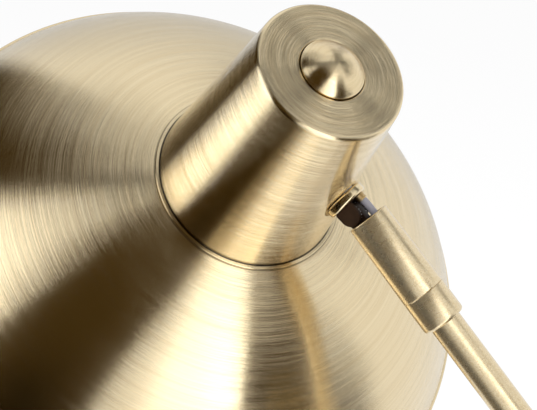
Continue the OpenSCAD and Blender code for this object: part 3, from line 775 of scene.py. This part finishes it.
    @classmethod
    def place(cls, piece: Object, spot: Matrix) -> None:
        """Moves a piece from its own frame to the lamp and smooths its shading.

        Args:
            piece: Piece in millimetres, about its own origin.
            spot: Its frame, in millimetres.
        """
        cls.settle(piece, Matrix.Scale(MM, 4) @ spot)
        if spot.determinant() < 0:
            cls.close()
        bpy.ops.object.shade_smooth_by_angle(angle=SMOOTH_ANGLE)


@dataclass
class Finishes:
    """All finishes of the lamp, one material for each frame where the brushing follows one."""

    made: dict[str, Material] = field(default_factory=dict)

    @staticmethod
    def brushed() -> dict[str, BrushedMetal]:
        """Returns the finishes whose brushing runs round an axis, by name."""
        rows = {
            # The head's finish paints shade into the gaps at the neck's foot and at the ring's
            # outer edge.
            "spun_head": BrushedMetal(
                "spun_brass_head", POSE.head(), seam_shadows=((36.32, 0.95), (37.95, 0.5))
            ),
            "spun_base": BrushedMetal("spun_brass_base", Matrix.Identity(4)),
            "button": BrushedMetal(
                "spun_brass_button", POSE.head(), pale=(0.78, 0.64, 0.40, 1),
                roughness=0.17, spread=0.7, scratch=0.04,
            ),
            "satin_arm": BrushedMetal(
                "satin_brass_arm", POSE.arm() @ shift(TUBE_OFF), roughness=0.27, spread=0.04,
                scratch=0.012, wear=0.15, speckle=0.6, metallic=0.86, along=True,
            ),
        }
        for name, spot in (("upper", POSE.head_knuckle()), ("lower", POSE.base_knuckle())):
            rows[f"satin_{name}"] = BrushedMetal(
                f"satin_brass_{name}", spot @ shift(POSE.ring_off),
                roughness=0.2, spread=0.1, scratch=0.05, speckle=0.3,
            )
        return rows

    @staticmethod
    def plain() -> tuple[PlainMetal | Moulded | Felt, ...]:
        """Returns the finishes without a direction."""
        return (
            PlainMetal(Slot.PLAIN_BRASS, (0.76, 0.62, 0.38, 1), (0.50, 0.37, 0.19, 1), 0.28),
            PlainMetal(Slot.BLACK_METAL, (0.009, 0.004, 0.002, 1), (0.04, 0.02, 0.009, 1), 0.5,
                       metallic=0.0, gloss=0.1),
            PlainMetal(Slot.PLATED_STEEL, (0.74, 0.74, 0.74, 1), (0.55, 0.55, 0.56, 1), 0.28),
            PlainMetal(Slot.CAST_IRON, (0.09, 0.09, 0.095, 1), (0.17, 0.15, 0.14, 1), 0.6,
                       500.0, 0.0004),
            Moulded(Slot.BLACK_RUBBER, (0.02, 0.02, 0.02, 1), (0.05, 0.05, 0.05, 1), 0.6),
            Moulded(Slot.BLACK_PLASTIC, (0.015, 0.015, 0.016, 1), (0.03, 0.03, 0.03, 1), 0.32,
                    coat=0.2),
            Moulded(Slot.CERAMIC, (0.86, 0.84, 0.78, 1), (0.72, 0.68, 0.6, 1), 0.25, coat=0.5),
            Moulded(Slot.GREY_SHEATH, (0.36, 0.35, 0.40, 1), (0.28, 0.27, 0.31, 1), 0.45),
            Moulded(Slot.OPAL_GLASS, (0.92, 0.91, 0.88, 1), (0.88, 0.87, 0.83, 1), 0.22,
                    0.00001, coat=0.6),
            Felt(),
        )

    def build(self) -> None:
        """Makes every material."""
        for name, finish in self.brushed().items():
            self.made[name] = finish.material()
        for finish in self.plain():
            self.made[finish.slot.value] = finish.material()

    def dress(self, piece: Object, name: str) -> None:
        """Gives a piece one of the finishes."""
        piece.data.materials.clear()
        piece.data.materials.append(self.made[name])

    def dress_nodes(self) -> None:
        """Gives each CAD node the finish of its slot in the record."""
        slots = {row["node"]: row["material_slot"] for row in frame["record"]["subparts"]}
        brass = {"spun_brass": "spun_head", "satin_brass": "satin_arm"}
        for name, node in frame["nodes"].items():
            finish = self.made[brass.get(slots[name], slots[name])]
            if not node.material_slots:
                node.data.materials.append(finish)
            for place in node.material_slots:
                place.material = finish


@dataclass
class Assembly:
    """What the lamp's sub-assemblies share."""

    finishes: Finishes

    def keep(
        self, piece: Object, node: str, spot: Matrix, body: Body, slot: Slot, finish: str = ""
    ) -> None:
        """Places a piece, dresses it and puts it on its body.

        Args:
            piece: Piece in its own frame.
            node: CAD node that it stands for.
            spot: Frame to place it in.
            body: Body that it rides on.
            slot: Slot in the record.
            finish: Name of its finish, where the slot has more than one.
        """
        Bench.place(piece, spot)
        self.finishes.dress(piece, finish or slot.value)
        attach(piece, body.value)
        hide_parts(node)
        log.info("%s stands for %s", piece.name, node)


@dataclass
class Head(Assembly):
    """Shade, neck, ring between them, lamp holder, bulb and button."""

    dome_r: float = 143.9
    rim_r: float = 125.5
    bead_r: float = 1.5
    wall: float = 1.0
    hole_r: float = 24.0
    clamp_r: float = 30.0
    ring_r: float = 37.8
    ring_t: float = 0.8
    disc_r: float = DISC_R
    neck_base_r: float = NECK_R
    neck_len: float = NECK_LEN
    edge: float = 1.5
    lip: float = 0.25
    flat_r: float = 9.2
    pad_t: float = 2.0
    stem_r: float = 5.06
    button_r: float = 11.5
    button_h: float = 5.2
    button_gap: float = 0.35
    holder_z: float = -31.5
    holder_r: float = 19.0
    holder_bore: float = 17.2
    holder_seam: float = -52.0
    holder_end: float = -78.0
    holder_ribs: int = 5
    holder_pitch: float = 3.4
    bulb_r: float = 22.5
    bulb_z: float = -105.8
    throat_r: float = 12.5
    throat_z: float = -84.3

    def shade(self) -> None:
        """Builds the dome with its flat top, its rolled bead and its inner wall."""
        top = self.neck_len + self.ring_t
        centre = -(top + math.sqrt(self.dome_r**2 - (self.ring_r - 0.2) ** 2))
        rim_z = -centre - math.sqrt(self.dome_r**2 - self.rim_r**2)
        bead = (self.rim_r - self.wall / 2, -rim_z - self.bead_r * 0.6)
        inner = self.dome_r - self.wall

        def angle(z: float, radius: float) -> float:
            """Returns the angle at which an arc about the dome's centre has a height."""
            return 90 - math.degrees(math.acos((z - centre) / radius))

        first, last = angle(-top, self.dome_r), angle(bead[1] + self.bead_r, self.dome_r)
        low, high = angle(bead[1] + self.bead_r * 0.7, inner), angle(-top - self.wall, inner)
        profile = [(self.hole_r, -top), (self.clamp_r, -top)]
        profile += Bench.arc((0, centre), self.dome_r, first, last, 56)
        profile += Bench.arc(bead, self.bead_r, 80, -228, 22)
        profile += Bench.arc((0, centre), inner, low, high, 40)
        profile += [(self.hole_r, -top - self.wall)]
        piece = Bench.turned("shade_shell", profile, 256)
        self.keep(piece, "shade", POSE.head(), Body.HEAD, Slot.SPUN_BRASS, "spun_head")

    def seat(self) -> None:
        """Builds the thin ring between neck and dome, its edges rounded."""
        low, high, inner = -self.neck_len - self.ring_t, -self.neck_len, self.neck_base_r - 2.0
        half = self.ring_t / 2
        edge = Bench.arc((self.ring_r - half, low + half), half, -90, 90, 8)
        piece = Bench.turned("seat_collar", [(inner, low), *edge, (inner, high)], 192)
        self.keep(piece, "seat_ring", POSE.head(), Body.HEAD, Slot.SPUN_BRASS, "spun_head")

    def neck(self) -> None:
        """Builds the tapered neck with its flat end, the button's hole and the knuckle's flat."""
        slope = (self.neck_base_r - self.disc_r) / self.neck_len
        lip, wall, base = self.lip, self.wall, -self.neck_len
        opening = self.button_r + self.button_gap
        edge_x = self.disc_r + slope * self.edge - self.edge * math.sqrt(1 + slope**2)
        lean = math.degrees(math.atan(slope))
        outer = Bench.arc((edge_x, -self.edge), self.edge, 90, lean, 8)
        inside = (self.disc_r - wall + slope * wall, -wall)
        profile = Bench.arc((opening + lip, -lip), lip, 180, 90, 3)
        profile += Bench.straight((opening + 1, 0), (edge_x - 0.6, 0), 6) + outer
        profile += Bench.straight(outer[-1], (self.neck_base_r, base), 30)[1:]
        profile += Bench.straight((self.neck_base_r - wall, base), inside, 12)
        piece = Bench.turned("neck_shell", [*profile, (opening, -wall)], 256)
        inset, rim, outside = 0.5, 1.2, 20
        solid = [(0, -inset), (edge_x, -inset), (self.disc_r - inset, -self.edge)]
        solid += [(self.neck_base_r - inset, base), (0, base)]
        depth, height = POSE.joint_d, -POSE.joint_z
        pad = Bench.drill("pad", self.flat_r + rim, height, depth - self.pad_t, depth + 15)
        Bench.cut(pad, Bench.turned("outline", solid, 256, closed=False), "INTERSECT")
        Bench.cut(piece, pad, "UNION")
        for name, radius, near in (("flat", self.flat_r, 0), ("stem_hole", self.stem_r, 10)):
            hole = Bench.drill(name, radius, height, depth - near, depth + outside)
            Bench.cut(piece, hole)
        self.keep(piece, "neck_cup", POSE.head(), Body.HEAD, Slot.SPUN_BRASS, "spun_head")

    def button(self) -> None:
        """Builds the domed button with its skirt."""
        base, skirt, wall, inset, r = 0.5, -4.0, 1.2, 0.2, self.button_r
        rise = self.button_h - base
        ball = (r**2 + rise**2) / (2 * rise)
        centre, inner = self.button_h - ball, ball - wall
        last = math.degrees(math.asin((r - inset) / ball))
        inner_last = math.degrees(math.asin((r - wall) / inner))
        profile = Bench.arc((0, centre), ball, 90, 90 - last, 20)
        profile += [(r - 0.05, base + 0.12), (r, base - 0.15), (r, skirt), (r - wall, skirt)]
        profile += Bench.arc((0, centre), inner, 90 - inner_last, 90, 10)
        piece = Bench.turned("push_button", profile, closed=False)
        self.keep(piece, "button_cap", POSE.head(), Body.BUTTON, Slot.SPUN_BRASS, "button")

    def holder(self) -> None:
        """Builds the lamp holder's cap and its ribbed shell."""
        top, seam, low = self.holder_z, self.holder_seam, self.holder_end
        r, bore, stem = self.holder_r, self.holder_bore, 5.05
        boss, chamfer, boss_h, root = 8.0, 0.6, 3.5, 6.0
        shoulder, shoulder_z, curve = 13.4, -46.4, 4.6
        cap = [(stem, top), (boss - chamfer, top), (boss, top - chamfer), (boss, top - boss_h)]
        cap += Bench.arc((shoulder, shoulder_z), curve, 100, 30, 6)
        cap += [(r - 0.3, shoulder_z), (r, shoulder_z - 0.8), (r, seam), (bore, seam)]
        cap += [(bore, seam + 4.0), (root, top - 5.5), (stem, top - 5.0)]
        groove, width, bead, bead_z = 0.3, 1.0, 0.7, low + 2.6
        shell = [(bore, seam), (r, seam), (r, seam - 1.0)]
        for i in range(self.holder_ribs):
            z = seam - 2.5 - i * self.holder_pitch
            floor = ((r - groove, z - groove), (r - groove, z - width + groove))
            shell += [(r, z), *floor, (r, z - width)]
        shell += [(r, bead_z + 3.0), *Bench.arc((r, bead_z), bead, 60, -60, 6)]
        shell += [(r, low), (bore, low)]
        for name, node, profile in (
            ("holder_top", "holder_cap", cap), ("holder_sleeve", "holder_shell", shell)
        ):
            piece = Bench.turned(name, profile)
            self.keep(piece, node, POSE.head(), Body.HEAD, Slot.BLACK_PLASTIC)

    def bulb(self) -> None:
        """Builds the round opal bulb."""
        r, low, high = self.throat_r, self.throat_z, self.throat_z + 3
        first = math.degrees(math.acos(r / self.bulb_r))
        glass = [(0, high), (r, high), (r, low)]
        glass += Bench.arc((0, self.bulb_z), self.bulb_r, first, -90, 40)
        piece = Bench.turned("bulb_ball", glass, closed=False)
        self.keep(piece, "bulb_glass", POSE.head(), Body.HEAD, Slot.OPAL_GLASS)

    def build(self) -> None:
        """Builds every piece of the head."""
        self.shade()
        self.seat()
        self.neck()
        self.button()
        self.holder()
        self.bulb()


@dataclass
class Knuckle(Assembly):
    """Ring, fork, tongue, bush and lead of one end of the arm."""

    name: str
    side: str
    spot: Matrix
    end: Matrix
    fork_body: Body
    bend: float
    ring_r: float = 8.0
    ring_t: float = 3.6
    ring_z: float = 3.8
    recess_r: float = 6.05
    recess_t: float = 1.4
    bore_r: float = 5.05
    edge: float = 0.9
    cheek_hw: float = 3.7
    cheek_y: float = 3.0
    cheek_t: float = 2.6
    foot_r: float = 6.0
    foot_z: float = 3.75
    foot_top: float = 5.2
    tongue_hw: float = 3.4
    tongue_t: float = 4.4
    plate_edge: float = 0.35
    tongue_edge: float = 0.3
    root_z: float = -5.8
    plug_r: float = 6.55
    plug_z: float = 5.3
    plug_len: float = 7.0
    bush_off: float = 6.1
    bush_r: float = 2.0
    bush_bore: float = 1.45
    bush_z: float = 1.35
    rib: float = 0.25
    rib_pitch: float = 0.6
    lead_r: float = 1.4
    lead_reach: float = 0.36

    def ring(self) -> None:
        """Builds the brass ring with its rounded edges and the recess for the fork's foot."""
        low, high, e = self.ring_z, self.ring_z + self.ring_t, self.edge
        step = low + self.recess_t
        profile = [(self.recess_r, low), *Bench.arc((self.ring_r - e, low + e), e, -90, 0, 6)]
        profile += Bench.arc((self.ring_r - e, high - e), e, 0, 90, 6)
        profile += [(self.bore_r, high), (self.bore_r, step), (self.recess_r, step)]
        piece = Bench.turned(f"{self.name}_ring_turned", profile)
        spot = self.spot @ shift(POSE.ring_off)
        finish = f"satin_{self.side}"
        self.keep(piece, f"{self.name}_ring", spot, self.fork_body, Slot.SATIN_BRASS, finish)

    def fork(self) -> None:
        """Builds the two black cheeks on their foot."""
        outline = Bench.arc((0, 0), self.cheek_hw, 180, 360, 24)
        outline += [(self.cheek_hw, self.ring_z), (-self.cheek_hw, self.ring_z)]
        near, far = self.cheek_y, self.cheek_y + self.cheek_t
        cheeks = [
            Bench.plate(f"{self.name}_cheek_{i}", outline, low, high, self.plate_edge)
            for i, (low, high) in enumerate(((-far, -near), (near, far)))
        ]
        r, low, high = self.foot_r, self.foot_z, self.foot_top
        profile = [(0, low), (r, low), (r, high), (0, high)]
        foot = Bench.turned(f"{self.name}_foot", profile, 64, closed=False)
        Bench.settle(foot, shift(POSE.ring_off))
        piece = Bench.join(f"{self.name}_fork_forged", *cheeks, foot)
        self.keep(piece, f"{self.name}_fork", self.spot, self.fork_body, Slot.BLACK_METAL)

    def tongue(self) -> None:
        """Builds the black tongue on its round plug."""
        half, step_z, step = self.tongue_hw, -4.0, 0.25
        outline = [*Bench.arc((0, 0), half, 0, 180, 24), (-half, step_z + 0.2)]
        outline += [(-half + step, step_z), (-half + step, self.root_z), (half, self.root_z)]
        name, thick = f"{self.side}_tongue_milled", self.tongue_t / 2
        e = self.tongue_edge
        tongue = Bench.plate(name, outline, -thick, thick, e)
        top, low, r = -self.plug_z, -self.plug_z - self.plug_len, self.plug_r
        profile = [(0, low), (r, low), (r, top - e), (r - e, top), (0, top)]
        plug = Bench.turned("plug", profile, 64, closed=False)
        piece = Bench.join(name, tongue, Bench.settle(plug, shift(TUBE_OFF)))
        self.keep(piece, f"{self.side}_tongue", self.end, Body.ARM, Slot.BLACK_METAL)

    def bush(self) -> None:
        """Builds the ribbed bush that guides the lead."""
        low, ribs, steps, valley = self.bush_z, 4, 6, self.bush_r - self.rib
        profile = [(self.bush_bore, low), (valley, low)]
        for i in range(ribs):
            for j in range(1, steps + 1):
                swell = self.rib * math.sin(math.pi * j / steps)
                profile.append((valley + swell, low + (i + j / steps) * self.rib_pitch))
        profile.append((self.bush_bore, low + ribs * self.rib_pitch))
        piece = Bench.turned(f"{self.name}_bush_ribbed", profile, 48)
        spot = self.spot @ shift(self.bush_off)
        self.keep(piece, f"{self.name}_bush", spot, self.fork_body, Slot.PLAIN_BRASS)

    def lead(self) -> None:
        """Builds the lead across the knuckle's gap, bent to the joint's tilt at rest."""
        off, low = self.bush_off + 0.2, -self.plug_z - 0.6
        first, leave = Vector((off, 0, low)), Vector((off, 0, low + 1.6))
        tilt = turn(self.bend, "Y")
        arrive = tilt @ Vector((self.bush_off + 0.05, 0, 0.2))
        last = tilt @ Vector((self.bush_off, 0, 1.9))
        Bench.clear()
        bpy.ops.curve.primitive_bezier_curve_add(location=(0, 0, 0))
        line = bpy.context.object.data
        reach = (last - first).length * self.lead_reach
        ends = ((first, leave - first), (last, last - arrive))
        for knot, (place, heading) in zip(line.splines[0].bezier_points, ends):
            knot.handle_left_type = knot.handle_right_type = "FREE"
            step = heading.normalized() * reach
            knot.co, knot.handle_left, knot.handle_right = place, place - step, place + step
        line.dimensions = "3D"
        line.resolution_u = 24
        line.bevel_depth = self.lead_r
        line.bevel_resolution = 8
        line.use_fill_caps = True
        bpy.ops.object.convert(target="MESH")
        piece = bpy.context.object
        Bench.close(2 * MERGE)
        Bench.place(Bench.rename(piece, f"{self.side}_lead_bent"), self.end)
        self.finishes.dress(piece, Slot.GREY_SHEATH.value)
        start, end = (Matrix.Scale(MM, 4) @ self.end @ point for point in (leave, last))
        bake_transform(piece)
        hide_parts(f"{self.side}_gap_lead")

    def build(self) -> None:
        """Builds every piece of the knuckle."""
        self.ring()
        self.fork()
        self.tongue()
        self.bush()
        self.lead()


@dataclass
class Arm(Assembly):
    """Tube with a sleeve and a collar at each end."""

    tube_r: float = 6.0
    tube_wall: float = 1.0
    tube_inset: float = 14.3
    mouth_z: float = 4.1
    mouth_r: float = 7.85
    mouth_edge: float = 0.45
    mouth_depth: float = 10.2
    bore_r: float = 6.6
    gap: float = 0.05
    seam_r: float = 8.25
    seam_edge: float = 0.28
    sleeve_len: float = 33.0
    collar_len: float = 12.9
    collar_edge: float = 1.3

    def fix(self, piece: Object, node: str, spot: Matrix) -> None:
        """Keeps a piece that was turned about the tube's axis."""
        self.keep(piece, node, spot @ shift(TUBE_OFF), Body.ARM, Slot.SATIN_BRASS, "satin_arm")

    def sleeve(self, side: str, spot: Matrix) -> None:
        """Builds the tapered sleeve of one end.

        Args:
            side: upper or lower.
            spot: Frame of that end.
        """
        mouth, seam = -self.mouth_z, -self.mouth_z - self.sleeve_len
        e, f = self.mouth_edge, self.seam_edge
        deep, bore, fit = mouth - self.mouth_depth, self.bore_r, self.tube_r + self.gap
        profile = [(bore, mouth - 0.25), (bore + 0.2, mouth)]
        profile += Bench.arc((self.mouth_r - e, mouth - e), e, 90, 2, 5)
        profile += Bench.arc((self.seam_r - f, seam + f), f, 0, -90, 4)
        profile += [(fit, seam), (fit, deep), (bore, deep)]
        self.fix(Bench.turned(f"{side}_sleeve_turned", profile), f"{side}_sleeve", spot)

    def collar(self, side: str, spot: Matrix) -> None:
        """Builds the collar with its rounded end.

        Args:
            side: upper or lower.
            spot: Frame of that end.
        """
        seam = -self.mouth_z - self.sleeve_len
        low, fit = seam - self.collar_len, self.tube_r + self.gap
        e, f = self.collar_edge, self.seam_edge
        profile = [(fit, seam), *Bench.arc((self.seam_r - f, seam - f), f, 90, 0, 4)]
        profile += [*Bench.arc((self.seam_r - e, low + e), e, 0, -90, 8), (fit, low)]
        self.fix(Bench.turned(f"{side}_collar_turned", profile), f"{side}_collar", spot)

    def tube(self) -> None:
        """Builds the straight tube."""
        low, top = self.tube_inset, POSE.arm_len - self.tube_inset
        r, bore = self.tube_r, self.tube_r - self.tube_wall
        profile = Bench.straight((r, low), (r, top), 24)
        profile += Bench.straight((bore, top), (bore, low), 2)
        self.fix(Bench.turned("arm_tube_drawn", profile), "arm_tube", POSE.arm())

    def build(self) -> None:
        """Builds every piece of the arm."""
        for side, spot in (("upper", POSE.upper_end()), ("lower", POSE.lower_end())):
            self.sleeve(side, spot)
            self.collar(side, spot)
        self.tube()


@dataclass
class Base(Assembly):
    """Spun cover of the round base and its cable gland."""

    radius: float = 95.0
    edge_h: float = 17.0
    rounding: float = 5.0
    rise: float = 2.0
    hub_h: float = 22.0
    hub_r: float = 10.5
    stem_r: float = 5.06
    wall: float = 1.2
    lift: float = 1.0
    inlet_h: float = 6.3
    inlet_r: float = 4.45
    gland_bore: float = 3.6
    gland_seat: float = 4.4
    gland_r: float = 5.5
    gland_edge: float = 0.6

    def skin(self, inset: float) -> list[Point]:
        """Lists the cover's outline from its foot to the hub's hole.

        Args:
            inset: Distance in from the outer skin.

        Returns:
            Radius and height of each point.
        """
        r, h, e = self.radius - inset, self.edge_h - inset, self.rounding - inset
        top, hub, high = h + self.rise, self.hub_r - inset, self.hub_h - inset
        points = [(r, self.lift), (r, h - e), *Bench.arc((r - e, h - e), e, 5, 90, 10)]
        points += Bench.straight((r - e - 0.5, h), (hub + 6, top), 24)[1:]
        foot = ((3, 0.1), (1.6, 0.4), (1, 0.9), (0.4, 2.0))
        points += [(hub + out, top + up) for out, up in foot]
        return [*points, (hub + 0.1, high - 0.25), (hub - 0.3, high)]

    def cover(self) -> None:
        """Builds the cover with its hub, and the hole for the gland."""
        bore = [(self.stem_r, self.hub_h), (self.stem_r, self.hub_h - self.wall)]
        profile = [*self.skin(0.0), *bore, *self.skin(self.wall)[::-1]]
        piece = Bench.turned("base_cover_spun", profile, 256)
        start, end = self.radius - 7, self.radius + 4
        Bench.cut(piece, Bench.drill("inlet", self.inlet_r, self.inlet_h, start, end, 48))
        spot = Matrix.Identity(4)
        self.keep(piece, "base_cover", spot, Body.BASE, Slot.SPUN_BRASS, "spun_base")

    def gland(self) -> None:
        """Builds the rubber gland round the cable inlet."""
        bore, seat, flange, e = self.gland_bore, self.gland_seat, self.gland_r, self.gland_edge
        inner, outer = self.radius - self.wall - 0.25, self.radius + 0.02
        profile = [(bore, inner - 1.8), (flange - 0.6, inner - 1.8), (flange - 0.4, inner - 1.5)]
        profile += [(flange - 0.4, inner), (seat, inner), (seat, outer), (flange, outer)]
        profile += Bench.arc((flange - e, self.radius + 0.9), e, 0, 90, 5)
        profile += [(bore + 0.3, self.radius + 1.5), (bore, self.radius + 1.2)]
        piece = Bench.turned("inlet_gland", profile, 64)
        spot = shift(0, self.inlet_h) @ turn(90, "Y")
        self.keep(piece, "cable_gland", spot, Body.BASE, Slot.BLACK_RUBBER)

    def build(self) -> None:
        """Builds every piece of the base."""
        self.cover()
        self.gland()


@dataclass(frozen=True)
class Card:
    """A soft-edged card that the metal reflects.

    Its path lists azimuth, elevation and width in degrees, as seen from the lamp's middle.
    """

    name: str
    path: tuple[tuple[float, float, float], ...]
    level: float
    reach: float
    left: float
    right: float
    ends: float
    tint: Colour = WHITE


@dataclass
class Studio:
    """Camera, floor, world light, lamps and the cards around the lamp."""

    eye: tuple[float, float, float] = (-0.0952, -0.3818, 0.3924)
    ahead: tuple[float, float, float] = (-0.356, 0.898, -0.2588)
    lens: float = 77.1
    middle: tuple[float, float, float] = (-0.22, 0.0, 0.29)
    cards: tuple[Card, ...] = (
        Card("box_left", ((-162, -24, 40), (-150, 4, 54), (-134, 30, 42)),
             2.5, 1.9, 0.4, 0.4, 0.25),
        Card("box_right", ((-58, -76, 50), (-56, -30, 46), (-45, 8, 34), (-33, 44, 34)),
             1.85, 1.95, 0.15, 0.3, 0.15),
        Card("strip_right", ((-41, -60, 14), (-41, 0, 18), (-39, 30, 18)),
             2.8, 1.9, 0.12, 0.4, 0.2),
        Card("veil_right", ((84, -30, 40), (118, 10, 76), (116, 56, 56)),
             0.72, 1.9, 0.35, 0.35, 0.25),
        Card("veil_belt", ((-50, 60, 22), (-10, 57, 22), (30, 57, 22), (80, 52, 18)),
             0.38, 1.7, 0.35, 0.35, 0.12),
        Card("veil_left", ((-134, 60, 18), (-90, 62, 22), (-38, 60, 22)),
             0.14, 1.68, 0.3, 0.3, 0.12),
        Card("veil_high", ((150, 62, 30), (-170, 76, 34), (-100, 78, 34), (-60, 70, 20)),
             0.54, 1.65, 0.4, 0.4, 0.25),
        Card("flag_front", ((-34, 56, 22), (-52, 47, 40), (-81, 26, 49), (-97, 4, 43),
                            (-117, -20, 50), (-132, -42, 56), (-134, -74, 34)),
             0.65, 1.5, 0.12, 0.12, 0.08, SHADE),
        Card("flag_left", ((151, -16, 32), (159, 12, 41), (-180, 39, 46), (-156, 50, 36),
                           (-128, 60, 26), (-98, 66, 16)),
             0.5, 1.5, 0.15, 0.15, 0.1, SHADE),
        Card("flag_low", ((-20, 26, 21), (-17, -10, 33), (-16, -56, 34)),
             0.5, 1.4, 0.05, 0.3, 0.12, SHADE),
        Card("flag_floor", ((-28, -36, 30), (0, -35, 30), (38, -38, 20)),
             0.65, 1.42, 0.25, 0.25, 0.15, SHADE),
        Card("flag_deep", ((-106, 4, 30), (-112, -20, 38), (-122, -52, 44)),
             0.05, 1.46, 0.35, 0.35, 0.3, SHADE),
        Card("flag_arm", ((0, 36, 13), (12, 34, 15), (25, 30, 12)), 0.1, 1.42, 0.25, 0.25, 0.2),
        Card("flag_slope", ((-12, 0, 12), (0, -12, 20), (24, -20, 16)),
             0.15, 1.45, 0.4, 0.4, 0.2),
        Card("flag_top", ((18, 66, 14), (24, 52, 24), (36, 32, 14)), 0.12, 1.5, 0.25, 0.25, 0.2),
        Card("flag_right", ((70, 50, 10), (80, 28, 14)), 0.4, 1.5, 0.35, 0.35, 0.3),
    )

    @staticmethod
    def toward(azimuth: float, rise: float) -> Vector:
        """Returns the unit vector of a direction in degrees."""
        a, b = math.radians(azimuth), math.radians(rise)
        return Vector((math.cos(a) * math.cos(b), math.sin(a) * math.cos(b), math.sin(b)))

    def camera(self) -> None:
        """Places the camera at the photograph's viewing angle."""
        Bench.clear()
        bpy.ops.object.camera_add(location=self.eye)
        camera = bpy.context.object
        camera.rotation_mode = "QUATERNION"
        camera.rotation_quaternion = Vector(self.ahead).to_track_quat("-Z", "Y")
        camera.data.lens = self.lens
        camera.data.sensor_width = 36.0
        camera.data.clip_start = 0.01
        bpy.context.scene.camera = camera

    def world(self) -> None:
        """Sets the world: white where it is seen, a little softer as light."""
        world = bpy.data.worlds.new("studio")
        world.use_nodes = True
        bpy.context.scene.world = world
        paint = Paint(world.node_tree)
        light = paint.node("ShaderNodeBackground", {"Color": (0.86, 0.86, 0.86, 1)})
        shown = paint.node("ShaderNodeBackground", {"Color": WHITE})
        paint.blend(paint.seen(), light, shown, "World")

    def floor(self) -> None:
        """Lays the pale floor, which keeps the lamp's shadow."""
        Bench.clear()
        bpy.ops.mesh.primitive_plane_add(size=12.0, location=(0, 0, -0.0002))
        floor = Bench.rename(bpy.context.object, "floor")
        material, paint = new_paint("floor")
        matt = paint.node("ShaderNodeBsdfDiffuse", {"Color": (0.9, 0.9, 0.9, 1)})
        glow = paint.node("ShaderNodeEmission", {"Color": WHITE, "Strength": 1.1})
        paint.blend(paint.seen() * 0.6, matt, glow)
        floor.data.materials.append(material)
        floor.visible_glossy = False
        material.cycles.emission_sampling = "NONE"

    def bent(self, card: Card, across: float, along: float) -> Vector:
        """Finds the place of one point of a card.

        Args:
            card: The card.
            across: Place across it, from -0.5 to 0.5.
            along: Place along its path, from 0 to 1.

        Returns:
            The point in the scene.
        """
        knots = [self.toward(azimuth, rise) for azimuth, rise, _ in card.path]
        last = len(knots) - 1
        i = min(int(along * last), last - 1)
        share = along * last - i
        centre = knots[i].slerp(knots[i + 1], share)
        heading = knots[i + 1].slerp(knots[i], 0.5) - knots[i]
        if 0 < i and share < 0.5:
            heading = heading.lerp((knots[i + 1] - knots[i - 1]) / 2, 0.5 - share)
        if i + 2 <= last and share >= 0.5:
            heading = heading.lerp((knots[i + 2] - knots[i]) / 2, share - 0.5)
        width = card.path[i][2] * (1 - share) + card.path[i + 1][2] * share
        side = centre.cross(heading).normalized() * math.tan(math.radians(width / 2)) * across * 2
        return Vector(self.middle) + (centre + side).normalized() * card.reach

    def card(self, card: Card) -> None:
        """Hangs one card, which only reflections show.

        Args:
            card: Place, size and brightness.
        """
        Bench.clear()
        bpy.ops.mesh.primitive_grid_add(x_subdivisions=6, y_subdivisions=24, size=1.0)
        piece = Bench.rename(bpy.context.object, card.name)
        for vertex in piece.data.vertices:
            vertex.co = self.bent(card, vertex.co.x, vertex.co.y + 0.5)
        material, paint = new_paint(card.name)
        u, v, _ = paint.parts(paint.node("ShaderNodeTexCoord").outputs["UV"])
        mask = u.step(0.0, card.left) * (1.0 - u).step(0.0, card.right)
        mask = mask * v.step(0.0, card.ends) * (1.0 - v).step(0.0, card.ends)
        clear = paint.node("ShaderNodeBsdfTransparent")
        glow = paint.node("ShaderNodeEmission", {"Color": card.tint, "Strength": card.level})
        paint.blend(mask, clear, glow)
        material.cycles.emission_sampling = "NONE"
        piece.data.materials.append(material)
        piece.visible_camera = piece.visible_diffuse = piece.visible_shadow = False
        piece.visible_transmission = piece.visible_volume_scatter = False

    def lamps(self) -> None:
        """Hangs two wide lamps for the soft shadows."""
        rows = (("lamp_left", -150, 45, 6.0), ("lamp_right", -40, 40, 4.0))
        for name, azimuth, rise, power in rows:
            Bench.clear()
            way = self.toward(azimuth, rise)
            bpy.ops.object.light_add(type="AREA", location=Vector(self.middle) + way * 1.6)
            lamp = bpy.context.object
            lamp.name = name
            lamp.rotation_euler = (-way).to_track_quat("-Z", "Y").to_euler()
            lamp.data.shape = "SQUARE"
            lamp.data.size = 1.0
            lamp.data.energy = power
            lamp.visible_glossy = False

    def build(self) -> None:
        """Sets up the studio."""
        self.camera()
        self.world()
        self.floor()
        for card in self.cards:
            self.card(card)
        self.lamps()
        bpy.context.scene.view_settings.view_transform = "Standard"


def main() -> None:
    """Builds the looks of the whole lamp."""
    logging.basicConfig(level=logging.INFO, format="%(message)s")
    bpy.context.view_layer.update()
    Studio().build()
    finishes = Finishes()
    finishes.build()
    finishes.dress_nodes()
    Head(finishes).build()
    ends = (
        ("head", "upper", POSE.head_knuckle(), POSE.upper_end(), Body.HEAD_FORK, -POSE.flange_lean),
        ("base", "lower", POSE.base_knuckle(), POSE.lower_end(), Body.BASE_FORK, -POSE.arm_lean),
    )
    for end in ends:
        Knuckle(finishes, *end).build()
    Arm(finishes).build()
    Base(finishes).build()
    Bench.clear()


if __name__ == "__main__":
    main()
